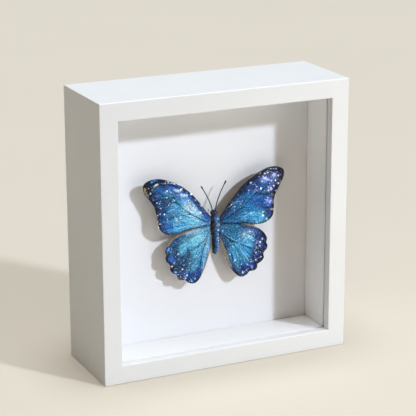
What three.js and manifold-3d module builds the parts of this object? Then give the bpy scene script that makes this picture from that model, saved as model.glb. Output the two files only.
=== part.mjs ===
// Framed butterfly specimen: a deep, white, free-standing shadow box with one blue butterfly
// pinned to its mount board behind a flat glass pane.
// Millimetres, +Z up, +X to the right of someone who looks at the glass, front face towards -Y.
// The origin is the centre of the box's footprint.

import * as THREE from 'three';
import { mergeVertices } from 'three/addons/utils/BufferGeometryUtils.js';
import { ParametricGeometry } from 'three/addons/geometries/ParametricGeometry.js';
import Module from 'manifold-3d';

// Frame: outside size, face of the moulding, thickness of its wall behind the lip
const frameWidth = 200;
const frameHeight = 212;
const frameDepth = 71;
const faceWidth = 14;
const wallThickness = 8;
const lipDepth = 6.8;
const edgeRound = 1;

// Clearance left between pieces that touch, and how near two corners are to count as one
const gap = 0.3;
const weldDistance = 1e-4;

// What the frame holds, counted from the front face backwards
const glassThickness = 2;
const mountFaceDepth = 39.4;
const mountThickness = 10;
const backThickness = 3.2;
const spacerInset = 13.6;

// Steel tabs that hold the back in
const tabWidth = 6;
const tabThickness = 0.8;
const tabReach = 9;
const tabEmbed = 4;
const tabSpread = 45;

// Toothed hanger in the back edge of the top rail
const hangerWidth = 44;
const hangerHeight = 5.4;
const hangerThickness = 1.2;
const hangerTeeth = 9;
const hangerToothDepth = 1.4;
const hangerRebate = 1.6;
const hangerSkin = 1.4;
const hangerPocketDepth = 4;
const hangerPocketMargin = 4;
const hangerNailInset = 1.9;
const nailHeadRadius = 1.3;
const nailShaftRadius = 0.6;
const nailLength = 9;
const nailSpacing = 38;

// Specimen: where its body crosses the mount board, how far it is turned, and how far its middle
// line leans sideways for each millimetre along the body
const specimenX = 4.2;
const specimenZ = 100;
const specimenTurn = THREE.MathUtils.degToRad(0.9);
const specimenLean = -0.04;

// Wings: thickness, rings from root to margin, slices to a span of the outline, how far their
// roots stand off the board and how far they rise from there
const wingThickness = 0.5;
const wingRings = 3;
const wingSlicesPerSpan = 2;
const forewingStandoff = 8.2;
const forewingRise = 3.2;
const forewingRiseReach = 46;
const forewingTipDroop = 2;
const forewingDroopReach = 23;
const hindwingStandoff = 7.2;
const hindwingRise = 3;
const hindwingRiseReach = 45;
const hindwingRisePower = 1.2;

// Body: standoff of its axis, roundness, how far down its length the head's middle lies, and
// sizes of what grows from it
const bodyStandoff = 7.6;
const bodySides = 16;
const headShare = 0.06;
const bodyFlatness = 0.94;
const eyeRadius = 1.35;
const eyeSpread = 1.75;
const eyeForward = 0.5;
const eyeDrop = 2.1;
const legRadius = 0.3;
const antennaRadius = 0.35;
const antennaClubRadius = 0.62;
const antennaClubStretch = 2.6;
const antennaSocketPoints = 3;

// Pin: its place on the thorax, how far its head stands off the board and its bite in the board
const pinRadius = 0.3;
const pinHeadRadius = 0.8;
const pinPlace = { a: 0, b: 2.4 };
const pinHeadStandoff = 11.6;
const pinBite = 6;

// Outlines of the right wings, from the thorax along the leading edge and round to the thorax
// again. The first number runs outwards from the body, the second towards the head.
const forewingOutline = [
  [3.8, 8.4], [6.5, 11.5], [13.3, 21.2], [21.6, 30.4], [31.3, 37.7], [42.5, 42.3], [50, 43],
  [55, 41.8], [57.8, 39.9], [58.6, 37], [57.5, 32.6], [53.3, 26.4], [50.4, 21.4], [49.1, 16],
  [48.7, 11], [47.6, 5.8], [46, 3], [43.7, 1], [40.2, -0.4], [34, -0.8], [28.2, -0.2], [22.5, 1.3],
  [13.4, 1.6], [4.05, 2.5],
];
const hindwingOutline = [
  [4.05, 1.3], [10, 1.6], [20, 0.8], [30, -2], [34.8, -4.1], [39.4, -7.7], [41.9, -12.2],
  [42.2, -15.9], [42.8, -18.8], [41.9, -22], [39.6, -25.1], [39.2, -28.3], [37.1, -31.6],
  [34.6, -33.5], [33.2, -36.1], [30.6, -38], [27.2, -38.9], [24.6, -40.8], [21, -42],
  [17.5, -40.8], [13.1, -36.3], [9.3, -29.2], [6.4, -22.4], [4.7, -15.5], [3.9, -10], [3.5, -7],
];

// Body segments from head to tail: length, greatest radius, share of it lost at the joints
const bodySegments = [
  { length: 4.4, radius: 2.65, pinch: 0.3, steps: 5 },
  { length: 4.2, radius: 3.3, pinch: 0.2, steps: 4 },
  { length: 4.3, radius: 3.7, pinch: 0.14, steps: 4 },
  { length: 4.2, radius: 3.6, pinch: 0.14, steps: 4 },
  { length: 3.3, radius: 3.1, pinch: 0.2, steps: 4 },
  { length: 2.25, radius: 2.65, pinch: 0.09, steps: 3 },
  { length: 2.25, radius: 2.85, pinch: 0.08, steps: 3 },
  { length: 2.25, radius: 2.85, pinch: 0.08, steps: 3 },
  { length: 2.25, radius: 2.8, pinch: 0.08, steps: 3 },
  { length: 2.25, radius: 2.65, pinch: 0.08, steps: 3 },
  { length: 3.1, radius: 2.4, pinch: 0.08, steps: 4 },
];
const bodyTop = 13.2;

// Axis of the body: place across, place along, standoff from the board
const bodyAxis = new THREE.CatmullRomCurve3([
  new THREE.Vector3(-1.1, bodyTop, 6.6),
  new THREE.Vector3(-0.6, 8.6, 7.2),
  new THREE.Vector3(-0.1, 4, bodyStandoff),
  new THREE.Vector3(0.15, -3, bodyStandoff),
  new THREE.Vector3(0.5, -12, bodyStandoff),
  new THREE.Vector3(0.8, -21.6, 7.2),
]);

// Legs of the right side, each from the thorax to the foot: outwards, along the body, standoff
const legRoutes = [
  [[1.2, 6.5, 5], [3.8, 9.5, 3], [2.2, 12.6, 1.4]],
  [[1.4, 2.6, 4.6], [4.8, 4.4, 2.6], [3, -2.6, 1]],
  [[1.2, -2, 4.8], [4.4, -2.2, 2.6], [2.4, -10, 1]],
];

// Antennae, each from the head to the club: place across, place along, standoff
const antennaRoutes = {
  antenna_left: [[-1.7, 11.6, 7.6], [-3, 14, 8.9], [-4.6, 18.3, 9.4], [-8, 25.5, 9.5], [-12.1, 32.5, 9.5]],
  antenna_right: [[-0.3, 11.6, 7.6], [-0.5, 14.1, 8.9], [0.7, 20.2, 9.4], [3.5, 27.6, 9.5], [7.2, 34.7, 9.5]],
};

const wasm = await Module();
wasm.setup();

// Materials: colour, roughness, metalness
function finish(color, roughness, metalness = 0) {
  return new THREE.MeshStandardMaterial({ color, roughness, metalness });
}
const whitePaint = () => finish(0xeeeeec, 0.45);
const clearGlass = () => new THREE.MeshStandardMaterial({
  color: 0xf4faf8, roughness: 0.03, metalness: 0, transparent: true, opacity: 0.15,
});
const whitePaper = () => finish(0xf2f2f5, 0.85);
const brownFibreboard = () => finish(0x8a6748, 0.8);
const zincSteel = () => finish(0xb5b7b8, 0.35, 1);
const darkChitin = () => finish(0x14304f, 0.4, 0.2);
const blackChitin = () => finish(0x17151a, 0.5);
const blueScales = () => finish(0x2b84c9, 0.35, 0.4);

const parts = new THREE.Group();

function add(parent, name, geometry, material) {
  const mesh = new THREE.Mesh(geometry, material);
  mesh.name = name;
  parent.add(mesh);
  return mesh;
}

// Merges shared vertices and drops the empty triangles that poles leave behind.
function weld(geometry) {
  const bare = geometry.clone();
  bare.deleteAttribute('normal');
  bare.deleteAttribute('uv');
  const merged = mergeVertices(bare, weldDistance);
  const corners = merged.index.array;
  const kept = [];
  for (let i = 0; i < corners.length; i += 3) {
    const [p, q, r] = [corners[i], corners[i + 1], corners[i + 2]];
    if (p !== q && q !== r && r !== p) kept.push(p, q, r);
  }
  merged.setIndex(kept);
  return merged;
}

function solidOf(geometry) {
  const welded = weld(geometry);
  return new wasm.Manifold(new wasm.Mesh({
    numProp: 3,
    vertProperties: new Float32Array(welded.attributes.position.array),
    triVerts: new Uint32Array(welded.index.array),
  }));
}

function geometryOf(solid) {
  const mesh = solid.getMesh();
  const geometry = new THREE.BufferGeometry();
  geometry.setAttribute('position', new THREE.BufferAttribute(new Float32Array(mesh.vertProperties), 3));
  geometry.setIndex(new THREE.BufferAttribute(new Uint32Array(mesh.triVerts), 1));
  geometry.computeVertexNormals();
  return geometry;
}

// Maps every vertex of a geometry in place.
function moveVertices(geometry, place) {
  const position = geometry.attributes.position;
  const vertex = new THREE.Vector3();
  for (let i = 0; i < position.count; i += 1) {
    vertex.fromBufferAttribute(position, i);
    place(vertex);
    position.setXYZ(i, vertex.x, vertex.y, vertex.z);
  }
  geometry.computeVertexNormals();
  return geometry;
}

function boxBetween(low, high) {
  const box = new THREE.BoxGeometry(high[0] - low[0], high[1] - low[1], high[2] - low[2]);
  box.translate((high[0] + low[0]) / 2, (high[1] + low[1]) / 2, (high[2] + low[2]) / 2);
  return box;
}

// A rod along Y from one depth to another.
function rodAlongY(radius, from, to, x, z, sides = 12) {
  const rod = new THREE.CylinderGeometry(radius, radius, to - from, sides);
  rod.translate(x, (from + to) / 2, 0);
  return rod.translate(0, 0, z);
}

// A round tube of a given radius along a smooth curve. An arc takes two sides a curve segment.
function tube(points, radius, sides, steps) {
  const section = new THREE.Shape();
  section.absarc(0, 0, radius, 0, 2 * Math.PI, false);
  return new THREE.ExtrudeGeometry(section, {
    steps,
    curveSegments: sides / 2,
    extrudePath: new THREE.CatmullRomCurve3(points),
  });
}

// Depths from the front face become places along Y.
const frontY = -frameDepth / 2;
const depthY = (depth) => frontY + depth;

// Section of the moulding: across from the outer edge inwards, and back from the front face.
function railSection() {
  const section = new THREE.Shape();
  const r = edgeRound;
  section.moveTo(r, 0);
  section.lineTo(faceWidth - r, 0);
  section.absarc(faceWidth - r, r, r, -Math.PI / 2, 0, false);
  section.lineTo(faceWidth, lipDepth);
  section.lineTo(wallThickness, lipDepth);
  section.lineTo(wallThickness, frameDepth);
  section.lineTo(r, frameDepth);
  section.absarc(r, frameDepth - r, r, Math.PI / 2, Math.PI, false);
  section.lineTo(0, r);
  section.absarc(r, r, r, Math.PI, 1.5 * Math.PI, false);
  return section;
}

// A rail lies along X with its outer edge on z = 0, and both ends are cut at 45 degrees.
function railSolid(length) {
  const mitreShift = (gap / 2) * Math.SQRT2;
  const prism = new THREE.ExtrudeGeometry(railSection(), { depth: 1, bevelEnabled: false, curveSegments: 2 });
  moveVertices(prism, (vertex) => {
    const { x: across, y: depth, z: end } = vertex;
    const half = length / 2 - across - mitreShift;
    vertex.set(end > 0.5 ? -half : half, depthY(depth), across);
  });
  return solidOf(prism);
}

// Cutters reach this far past the surface that they cut.
const past = 1;

// Tabs of one rail, in the rail's own place: along it, and how deep they stand.
const tabDepth = mountFaceDepth + mountThickness + backThickness + 2 * gap;
const tabPlaces = [-tabSpread, tabSpread];

function tabGeometry(along) {
  const point = new THREE.Shape();
  const half = tabWidth / 2;
  point.moveTo(along - half, wallThickness - tabEmbed);
  point.lineTo(along + half, wallThickness - tabEmbed);
  const shoulder = wallThickness + tabReach - half;
  point.lineTo(along + half, shoulder);
  point.quadraticCurveTo(along + half, wallThickness + tabReach, along, wallThickness + tabReach);
  point.quadraticCurveTo(along - half, wallThickness + tabReach, along - half, shoulder);
  const plate = new THREE.ExtrudeGeometry(point, {
    depth: tabThickness,
    bevelEnabled: false,
    curveSegments: 4,
  });
  return moveVertices(plate, (vertex) => {
    const { x, y: across, z: thick } = vertex;
    vertex.set(x, depthY(tabDepth + tabThickness - thick), across);
  });
}

function tabSlot(along) {
  const half = tabWidth / 2 + gap;
  const start = depthY(tabDepth - gap);
  const low = [along - half, start, wallThickness - tabEmbed - gap];
  const high = [along + half, start + tabThickness + 2 * gap, wallThickness + past];
  return solidOf(boxBetween(low, high));
}

const hangerNailZ = hangerSkin + gap + hangerNailInset;

// Rebate for the hanger, a pocket behind its teeth for the wall's nail, and bores for its nails
function cutHangerSeat(rail) {
  const back = depthY(frameDepth);
  const halfRebate = hangerWidth / 2 + gap;
  const rebateTop = wallThickness + past;
  let cut = rail.subtract(solidOf(boxBetween(
    [-halfRebate, back - hangerRebate, hangerSkin],
    [halfRebate, back + past, rebateTop],
  )));
  const halfPocket = nailSpacing / 2 - hangerPocketMargin;
  cut = cut.subtract(solidOf(boxBetween(
    [-halfPocket, back - hangerRebate - hangerPocketDepth, hangerSkin + hangerHeight / 2],
    [halfPocket, back + past, rebateTop],
  )));
  for (const x of [-nailSpacing / 2, nailSpacing / 2]) {
    const bore = rodAlongY(nailShaftRadius + gap, back - nailLength - gap, back, x, hangerNailZ);
    cut = cut.subtract(solidOf(bore));
  }
  return cut;
}

// The hanger is drawn in the rail's place too: its teeth point to the inside of the frame.
function hangerGeometry() {
  const left = -hangerWidth / 2;
  const low = hangerSkin + gap;
  const plate = new THREE.Shape();
  plate.moveTo(left, low);
  plate.lineTo(-left, low);
  plate.lineTo(-left, low + hangerHeight);
  const toothPitch = (nailSpacing - 2 * hangerPocketMargin) / hangerTeeth;
  const toothStart = (toothPitch * hangerTeeth) / 2;
  for (let i = 0; i < hangerTeeth; i += 1) {
    plate.lineTo(toothStart - i * toothPitch, low + hangerHeight);
    plate.lineTo(toothStart - (i + 0.5) * toothPitch, low + hangerHeight - hangerToothDepth);
  }
  plate.lineTo(-toothStart, low + hangerHeight);
  plate.lineTo(left, low + hangerHeight);
  const blank = new THREE.ExtrudeGeometry(plate, { depth: hangerThickness, bevelEnabled: false });
  const rear = depthY(frameDepth);
  moveVertices(blank, (vertex) => {
    const { x, y: across, z: thick } = vertex;
    vertex.set(x, rear - thick, across);
  });
  let solid = solidOf(blank);
  for (const x of [-nailSpacing / 2, nailSpacing / 2]) {
    const boreStart = rear - hangerThickness - past;
    const sinkStart = rear - hangerThickness / 2;
    const bore = rodAlongY(nailShaftRadius + gap, boreStart, rear + past, x, hangerNailZ);
    const sink = rodAlongY(nailHeadRadius + gap, sinkStart, rear + past, x, hangerNailZ);
    solid = solid.subtract(solidOf(bore)).subtract(solidOf(sink));
  }
  return geometryOf(solid);
}

function nailGeometry(x) {
  const rear = depthY(frameDepth);
  const head = rodAlongY(nailHeadRadius, rear - hangerThickness / 2 + gap, rear, x, hangerNailZ);
  const shaft = rodAlongY(nailShaftRadius, rear - nailLength, rear - hangerThickness / 4, x, hangerNailZ);
  return geometryOf(solidOf(head).add(solidOf(shaft)));
}

function buildFrame() {
  const rails = [
    { name: 'bottom', length: frameWidth, x: 0, z: 0, turn: 0 },
    { name: 'top', length: frameWidth, x: 0, z: frameHeight, turn: Math.PI },
    { name: 'left', length: frameHeight, x: -frameWidth / 2, z: frameHeight / 2, turn: Math.PI / 2 },
    { name: 'right', length: frameHeight, x: frameWidth / 2, z: frameHeight / 2, turn: -Math.PI / 2 },
  ];
  let tabNumber = 1;
  for (const rail of rails) {
    const side = new THREE.Group();
    side.position.set(rail.x, 0, rail.z);
    side.rotation.y = rail.turn;
    parts.add(side);
    let solid = railSolid(rail.length);
    for (const along of tabPlaces) {
      solid = solid.subtract(tabSlot(along));
      add(side, `tab_${tabNumber}`, tabGeometry(along), zincSteel());
      tabNumber += 1;
    }
    if (rail.name === 'top') {
      solid = cutHangerSeat(solid);
      add(side, 'hanger', hangerGeometry(), zincSteel());
      add(side, 'hanger_nail_left', nailGeometry(-nailSpacing / 2), zincSteel());
      add(side, 'hanger_nail_right', nailGeometry(nailSpacing / 2), zincSteel());
    }
    add(side, `frame_${rail.name}`, geometryOf(solid), whitePaint());
  }
}

// A flat sheet that fills the frame behind the lip, between two depths.
const sheetHalfWidth = frameWidth / 2 - wallThickness - gap;
const sheetLow = wallThickness + gap;
const sheetHigh = frameHeight - wallThickness - gap;
function sheet(fromDepth, toDepth) {
  const low = [-sheetHalfWidth, depthY(fromDepth), sheetLow];
  const high = [sheetHalfWidth, depthY(toDepth), sheetHigh];
  return boxBetween(low, high);
}

function specimenToFrame(geometry) {
  geometry.rotateY(specimenTurn);
  return geometry.translate(specimenX, depthY(mountFaceDepth), specimenZ);
}

function buildInside() {
  const glassBack = lipDepth + gap + glassThickness;
  const spacerFront = depthY(glassBack + gap);
  const spacerBack = depthY(mountFaceDepth - gap);
  add(parts, 'glass', sheet(lipDepth + gap, glassBack), clearGlass());

  const innerX = frameWidth / 2 - spacerInset;
  const innerTop = frameHeight - spacerInset;
  const strips = {
    bottom: [[-sheetHalfWidth, spacerFront, sheetLow], [sheetHalfWidth, spacerBack, spacerInset]],
    top: [[-sheetHalfWidth, spacerFront, innerTop], [sheetHalfWidth, spacerBack, sheetHigh]],
    left: [[-sheetHalfWidth, spacerFront, spacerInset + gap], [-innerX, spacerBack, innerTop - gap]],
    right: [[innerX, spacerFront, spacerInset + gap], [sheetHalfWidth, spacerBack, innerTop - gap]],
  };
  for (const [side, [low, high]] of Object.entries(strips)) {
    add(parts, `spacer_${side}`, boxBetween(low, high), whitePaper());
  }

  const board = solidOf(sheet(mountFaceDepth, mountFaceDepth + mountThickness));
  const hole = rodAlongY(pinRadius + gap, -past, pinBite + gap, pinPlace.a, pinPlace.b);
  const pierced = board.subtract(solidOf(specimenToFrame(hole)));
  add(parts, 'mount_board', geometryOf(pierced), whitePaper());

  const backFront = mountFaceDepth + mountThickness + gap;
  add(parts, 'back_panel', sheet(backFront, backFront + backThickness), brownFibreboard());
}

// Standoff of a wing's middle surface from the board, at a place on the right wing.
function forewingHeight(a, b) {
  const { clamp } = THREE.MathUtils;
  const rise = Math.sin((Math.PI / 2) * clamp(a / forewingRiseReach, 0, 1));
  const past = clamp((Math.hypot(a, b) - forewingRiseReach) / forewingDroopReach, 0, 1);
  return forewingStandoff + forewingRise * rise - forewingTipDroop * past;
}
function hindwingHeight(a, b) {
  const reach = Math.hypot(a, b) / hindwingRiseReach;
  return hindwingStandoff + hindwingRise * reach ** hindwingRisePower;
}

// A wing is a fan: rings run from its root, the line beside the thorax that joins the outline's
// two ends, out to the outline. The section goes out along the front surface, over the margin
// and back along the rear one.
function wingGeometry(outline, heightAt, side) {
  const points = outline.map(([a, b]) => new THREE.Vector3(a, b, 0));
  const margin = new THREE.CatmullRomCurve3(points, false, 'catmullrom', 0.5);
  const rootStart = points[0];
  const rootEnd = points[points.length - 1];
  const slices = wingSlicesPerSpan * (outline.length - 1);
  const stacks = 2 * wingRings + 2;
  const surface = (u, v, target) => {
    const along = side > 0 ? u : 1 - u;
    const edge = margin.getPoint(along);
    const root = rootStart.clone().lerp(rootEnd, along);
    const row = Math.round(v * stacks) % stacks;
    const front = row <= wingRings;
    const ring = (front ? row : stacks - 1 - row) / wingRings;
    const place = root.lerp(edge, ring);
    const height = heightAt(place.x, place.y) + (front ? wingThickness : -wingThickness) / 2;
    target.set(side * place.x + specimenLean * place.y, -height, place.y);
  };
  return weld(new ParametricGeometry(surface, slices, stacks));
}

// The body's radius runs through its segments, pinched at each joint and round at both ends.
function bodyProfile() {
  const profile = [new THREE.Vector2(0, bodyTop)];
  let top = bodyTop;
  bodySegments.forEach((segment, number) => {
    const first = number === 0;
    const last = number === bodySegments.length - 1;
    for (let step = first ? 1 : 0; step < segment.steps; step += 1) {
      const place = (2 * step) / segment.steps - 1;
      const end = (first && place < 0) || (last && place > 0);
      const round = Math.sqrt(1 - place * place);
      const swell = end ? round : 1 - segment.pinch * place * place;
      profile.push(new THREE.Vector2(segment.radius * swell, top - (segment.length * (place + 1)) / 2));
    }
    top -= segment.length;
  });
  profile.push(new THREE.Vector2(0, top));
  return profile.reverse();
}

// Turns a profile round the body's bent axis.
function aroundAxis(profile) {
  const total = bodySegments.reduce((sum, segment) => sum + segment.length, 0);
  const lathe = new THREE.LatheGeometry(profile, bodySides);
  return solidOf(moveVertices(lathe, (vertex) => {
    const down = THREE.MathUtils.clamp((bodyTop - vertex.y) / total, 0, 1);
    const axis = bodyAxis.getPointAt(down);
    const { x: across, y: along, z: forward } = vertex;
    vertex.set(axis.x + across, -axis.z - forward * bodyFlatness, along);
  }));
}

function antennaPoints(route) {
  return route.map(([a, b, height]) => new THREE.Vector3(a, -height, b));
}

function antennaSolid(route) {
  const points = antennaPoints(route);
  const tip = points[points.length - 1];
  const before = points[points.length - 2];
  const club = new THREE.SphereGeometry(antennaClubRadius, 8, 6);
  club.scale(1, antennaClubStretch, 1);
  const turn = new THREE.Quaternion().setFromUnitVectors(
    new THREE.Vector3(0, 1, 0),
    tip.clone().sub(before).normalize(),
  );
  club.applyQuaternion(turn).translate(tip.x, tip.y, tip.z);
  return solidOf(tube(points, antennaRadius, 6, 12)).add(solidOf(club));
}

function legSolid(route, side) {
  const points = route.map(([a, b, height]) => new THREE.Vector3(side * a, -height, b));
  return solidOf(tube(points, legRadius, 6, 8));
}

function buildSpecimen() {
  const specimen = new THREE.Group();
  specimen.position.set(specimenX, depthY(mountFaceDepth), specimenZ);
  specimen.rotation.y = specimenTurn;
  parts.add(specimen);

  let body = aroundAxis(bodyProfile());
  const headAxis = bodyAxis.getPointAt(headShare);
  for (const side of [-1, 1]) {
    const eye = new THREE.SphereGeometry(eyeRadius, 10, 8);
    eye.translate(headAxis.x + side * eyeSpread, -headAxis.z - eyeForward, bodyTop - eyeDrop);
    body = body.add(solidOf(eye));
    for (const route of legRoutes) body = body.add(legSolid(route, side));
  }
  for (const [name, route] of Object.entries(antennaRoutes)) {
    const socket = tube(antennaPoints(route.slice(0, antennaSocketPoints)), antennaRadius + gap, 8, 6);
    body = body.subtract(solidOf(socket));
    add(specimen, name, geometryOf(antennaSolid(route)), blackChitin());
  }
  const bore = rodAlongY(pinRadius + gap, -2 * bodyStandoff, 0, pinPlace.a, pinPlace.b);
  body = body.subtract(solidOf(bore));
  add(specimen, 'body', geometryOf(body), darkChitin());

  for (const [word, side] of [['left', -1], ['right', 1]]) {
    add(specimen, `forewing_${word}`, wingGeometry(forewingOutline, forewingHeight, side), blueScales());
    add(specimen, `hindwing_${word}`, wingGeometry(hindwingOutline, hindwingHeight, side), blueScales());
  }

  const shaft = rodAlongY(pinRadius, -pinHeadStandoff, pinBite, pinPlace.a, pinPlace.b, 8);
  const head = new THREE.SphereGeometry(pinHeadRadius, 10, 8);
  head.translate(pinPlace.a, -pinHeadStandoff, pinPlace.b);
  add(specimen, 'pin', geometryOf(solidOf(shaft).add(solidOf(head))), zincSteel());
}

buildFrame();
buildInside();
buildSpecimen();

export default parts;
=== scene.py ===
"""Framed butterfly specimen: the looks of a deep white shadow box with one blue butterfly on a pin.

Every piece is in metres in the row frame: +Z up, +X to the right of someone who looks at the
glass, +Y from the glass to the back. Lengths in the named values below are millimetres unless
their name or comment says otherwise, and MM turns them into metres.
"""

import math

import bmesh
import bpy
import numpy as np
from mathutils import Matrix, Vector


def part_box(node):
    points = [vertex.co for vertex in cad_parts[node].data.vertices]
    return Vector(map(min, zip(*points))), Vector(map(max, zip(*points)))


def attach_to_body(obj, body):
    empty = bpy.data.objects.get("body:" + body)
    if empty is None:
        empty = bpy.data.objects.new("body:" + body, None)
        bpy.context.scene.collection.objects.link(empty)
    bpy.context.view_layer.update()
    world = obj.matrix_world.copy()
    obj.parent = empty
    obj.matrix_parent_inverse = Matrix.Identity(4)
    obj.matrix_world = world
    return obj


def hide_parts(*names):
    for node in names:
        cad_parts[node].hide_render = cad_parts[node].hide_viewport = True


bl_info = {
    "name": "Framed Butterfly Specimen",
    "version": (1, 0, 0),
    "blender": (4, 5, 0),
    "location": "View3D > Sidebar > Specimen",
    "description": "Builds the finish, the insect and the studio around the packed frame",
    "category": "Object",
}

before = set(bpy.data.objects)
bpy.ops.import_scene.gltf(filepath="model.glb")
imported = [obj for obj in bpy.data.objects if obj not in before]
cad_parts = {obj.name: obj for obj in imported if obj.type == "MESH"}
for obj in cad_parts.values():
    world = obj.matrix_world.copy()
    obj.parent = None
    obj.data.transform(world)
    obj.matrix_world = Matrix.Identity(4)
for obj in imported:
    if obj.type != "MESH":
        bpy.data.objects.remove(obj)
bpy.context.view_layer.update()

MM = 0.001

# The specimen's middle on the mount board, its turn, and how far its middle line leans sideways
# for each millimetre along the body
SPECIMEN_X = 4.2
SPECIMEN_Z = 100.0
SPECIMEN_TURN = math.radians(0.9)
SPECIMEN_LEAN = -0.04
BOARD_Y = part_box("mount_board")[0].y

# Mouldings: outside size and depth of the frame, then of their section the face, the wall behind
# the lip, the lip's depth and the rounding of the long edges; half of the slit at a mitre
FRAME_WIDTH = 200.0
FRAME_HEIGHT = 212.0
FRAME_DEPTH = 71.0
FACE_WIDTH = 14.0
WALL_THICKNESS = 8.0
LIP_DEPTH = 6.8
EDGE_ROUND = 0.6
MITRE_SLIT = 0.02
SPACER_CHAMFER = 0.5
# Seat of the hanger in the top rail: skin left above it, its half length and depth, and the same
# of the pocket behind the teeth
SEAT_SKIN = 1.4
SEAT_HALF = 22.3
SEAT_DEPTH = 1.6
POCKET_SKIN = 4.1
POCKET_HALF = 14.0
POCKET_DEPTH = 5.6
SPACERS = ("spacer_bottom", "spacer_top", "spacer_left", "spacer_right")
TABS = tuple(f"tab_{number}" for number in range(1, 9))
HANGER = ("hanger", "hanger_nail_left", "hanger_nail_right")

# Wings: how far their roots stand off the board, how far they rise from there and over what
# reach, and the forewings' droop past it; then the blade's thickness, that of its rim, the width
# over which it thins, and the heights of vein ridges, pleats and ripples
FOREWING_ROOT = 8.2
FOREWING_RISE = 3.2
FOREWING_REACH = 46.0
TIP_DROOP = 2.0
DROOP_REACH = 23.0
HINDWING_ROOT = 7.2
HINDWING_RISE = 3.0
HINDWING_REACH = 45.0
BLADE_THICKNESS = 0.34
BLADE_RIM = 0.1
BLADE_THINNING = 1.2
UNDERSIDE_RINGS = 14
RIDGE_HEIGHT = 0.16
RIDGE_SPREAD = 0.4
PLEAT_HEIGHT = 0.12
RIPPLE_HEIGHT = 0.22
# Glitter: nearest to the margin, standoff of small and large grains, scatter of the clusters,
# radii of small grains and glints, tilts and corners of small and large grains
GRAIN_MARGIN = 0.35
GRAIN_STANDOFF = 0.24
SPARKLE_STANDOFF = 0.34
CLUSTER_SCATTER = 1.9
GRAIN_RADII = (0.2, 0.46)
GLINT_RADII = (0.2, 0.4)
GRAIN_TILT = 0.3
SPARKLE_TILT = 0.12
GRAIN_CORNERS = 5
SPARKLE_CORNERS = 10
GRAIN_THICKNESS = 0.3
# Small grains take the wing's tint times e^normal(mean, spread), shifted towards blue, and these
# shares of them are glints, pale grains painted as highlights of the sun, far from the large
# grains and near them
GAIN_MEAN = -0.3
GAIN_SPREAD = 0.75
GRAIN_SHIFT = (1.0, 1.08, 1.15)
GLINT_SHARE = 0.05
NEAR_GLINT_SHARE = 0.4
DARK_GRAINS = "#16234A"
TAN_GRAINS = "#A4946E"

# Right wings, from the thorax along the leading edge and round to the thorax again: out from the
# body, towards the head, and the width of the dark border there
FOREWING = np.array([
    (3.8, 8.4, 0.7), (6.5, 11.5, 0.7), (13.3, 21.2, 0.8), (21.6, 30.4, 0.9), (31.3, 37.7, 1.0),
    (42.5, 42.3, 2.4), (50, 43, 3.6), (55, 41.8, 5.2), (57.8, 39.9, 6.2), (58.6, 37, 6.6),
    (57.5, 32.6, 5.0), (53.3, 26.4, 3.2), (50.4, 21.4, 2.4), (49.1, 16, 1.9), (48.7, 11, 1.6),
    (47.6, 5.8, 1.5), (46, 3, 1.2), (43.7, 1, 0.8), (40.2, -0.4, 0.5), (34, -0.8, 0.4),
    (28.2, -0.2, 0.4), (22.5, 1.3, 0.4), (13.4, 1.6, 0.4), (4.05, 2.5, 0.4),
])
HINDWING = np.array([
    (4.05, 1.3, 0.4), (10, 1.6, 0.4), (20, 0.8, 0.5), (30, -2, 0.7), (34.8, -4.1, 1.0),
    (39.4, -7.7, 1.6), (42, -11.6, 2.2), (42.7, -14.2, 2.4), (41.9, -16.7, 2.2),
    (42.8, -19, 2.2), (42, -22, 2.0), (39.3, -25, 2.2), (39.4, -28.6, 2.2), (37.4, -31.4, 2.0),
    (34.1, -33.4, 1.8), (33.4, -36.3, 1.8), (31, -38.2, 1.6), (27.2, -38.5, 1.5),
    (24.8, -40.6, 1.5), (21, -42, 1.6), (17.5, -40.8, 1.6), (13.1, -36.3, 1.0),
    (9.3, -29.2, 0.5), (6.4, -22.4, 0.4), (4.7, -15.5, 0.4), (3.9, -10, 0.4), (3.5, -7, 0.4),
])

# Veins, each a line of (out, along, half width)
FOREWING_VEINS = (
    ((4.5, 4.3, .5), (9, 6, .5), (15, 9.6, .5), (20, 12.6, .5), (26, 17, .45), (29.5, 20.5, .4),
     (33, 23.8, .35), (37.5, 23.6, .3), (42, 21.8, .2)),
    ((18, 11.6, .3), (23, 13.2, .3), (30, 13, .25), (36, 12.2, .2), (43, 11.5, .1)),
    ((33, 23.8, .3), (36, 27.5, .25), (42, 27.6, .4), (47, 27, .5), (51, 25.2, .5)),
    ((28, 30.8, .15), (34, 30.9, .3), (40, 30.4, .25), (46, 29, .15)),
    ((5, 9.2, .35), (9, 14.2, .4), (15, 22, .4), (22, 29.2, .4), (28, 33.6, .4), (35, 37, .4),
     (42, 38.6, .45), (49, 37.6, .3)),
    ((37.5, 23.6, .25), (43, 17, .2), (47.5, 14.5, .1)),
    ((10, 5.6, .15), (20, 5.2, .15), (30, 5.6, .12), (42, 5, .08)),
    ((4.5, 3.2, .3), (14, 2.3, .3), (24, 1.5, .25), (32, 0, .15)),
)
HINDWING_VEINS = (
    ((5, -3, .4), (8.5, -8.4, .4), (13.4, -12.4, .45), (20, -15.4, .3), (26, -18.6, .3),
     (31, -20.4, .15)),
    ((4.8, -5, .35), (8, -11, .4), (11.5, -19, .4), (14, -27, .35), (15.8, -34, .2)),
    ((6.5, -8, .25), (10.5, -17, .3), (13, -25, .25), (13.8, -31, .15)),
    ((13.4, -12.4, .3), (17.5, -20, .2), (21.5, -28, .2), (24, -35, .12)),
    ((20, -15.4, .25), (25.5, -22, .2), (30, -29, .15), (33, -34, .1)),
    ((5, -1.8, .2), (14, -4.2, .2), (24, -7, .2), (31, -10.5, .35), (37, -13.6, .3)),
    ((22, -7, .15), (29, -14, .15), (37, -19.5, .1)),
)
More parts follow.
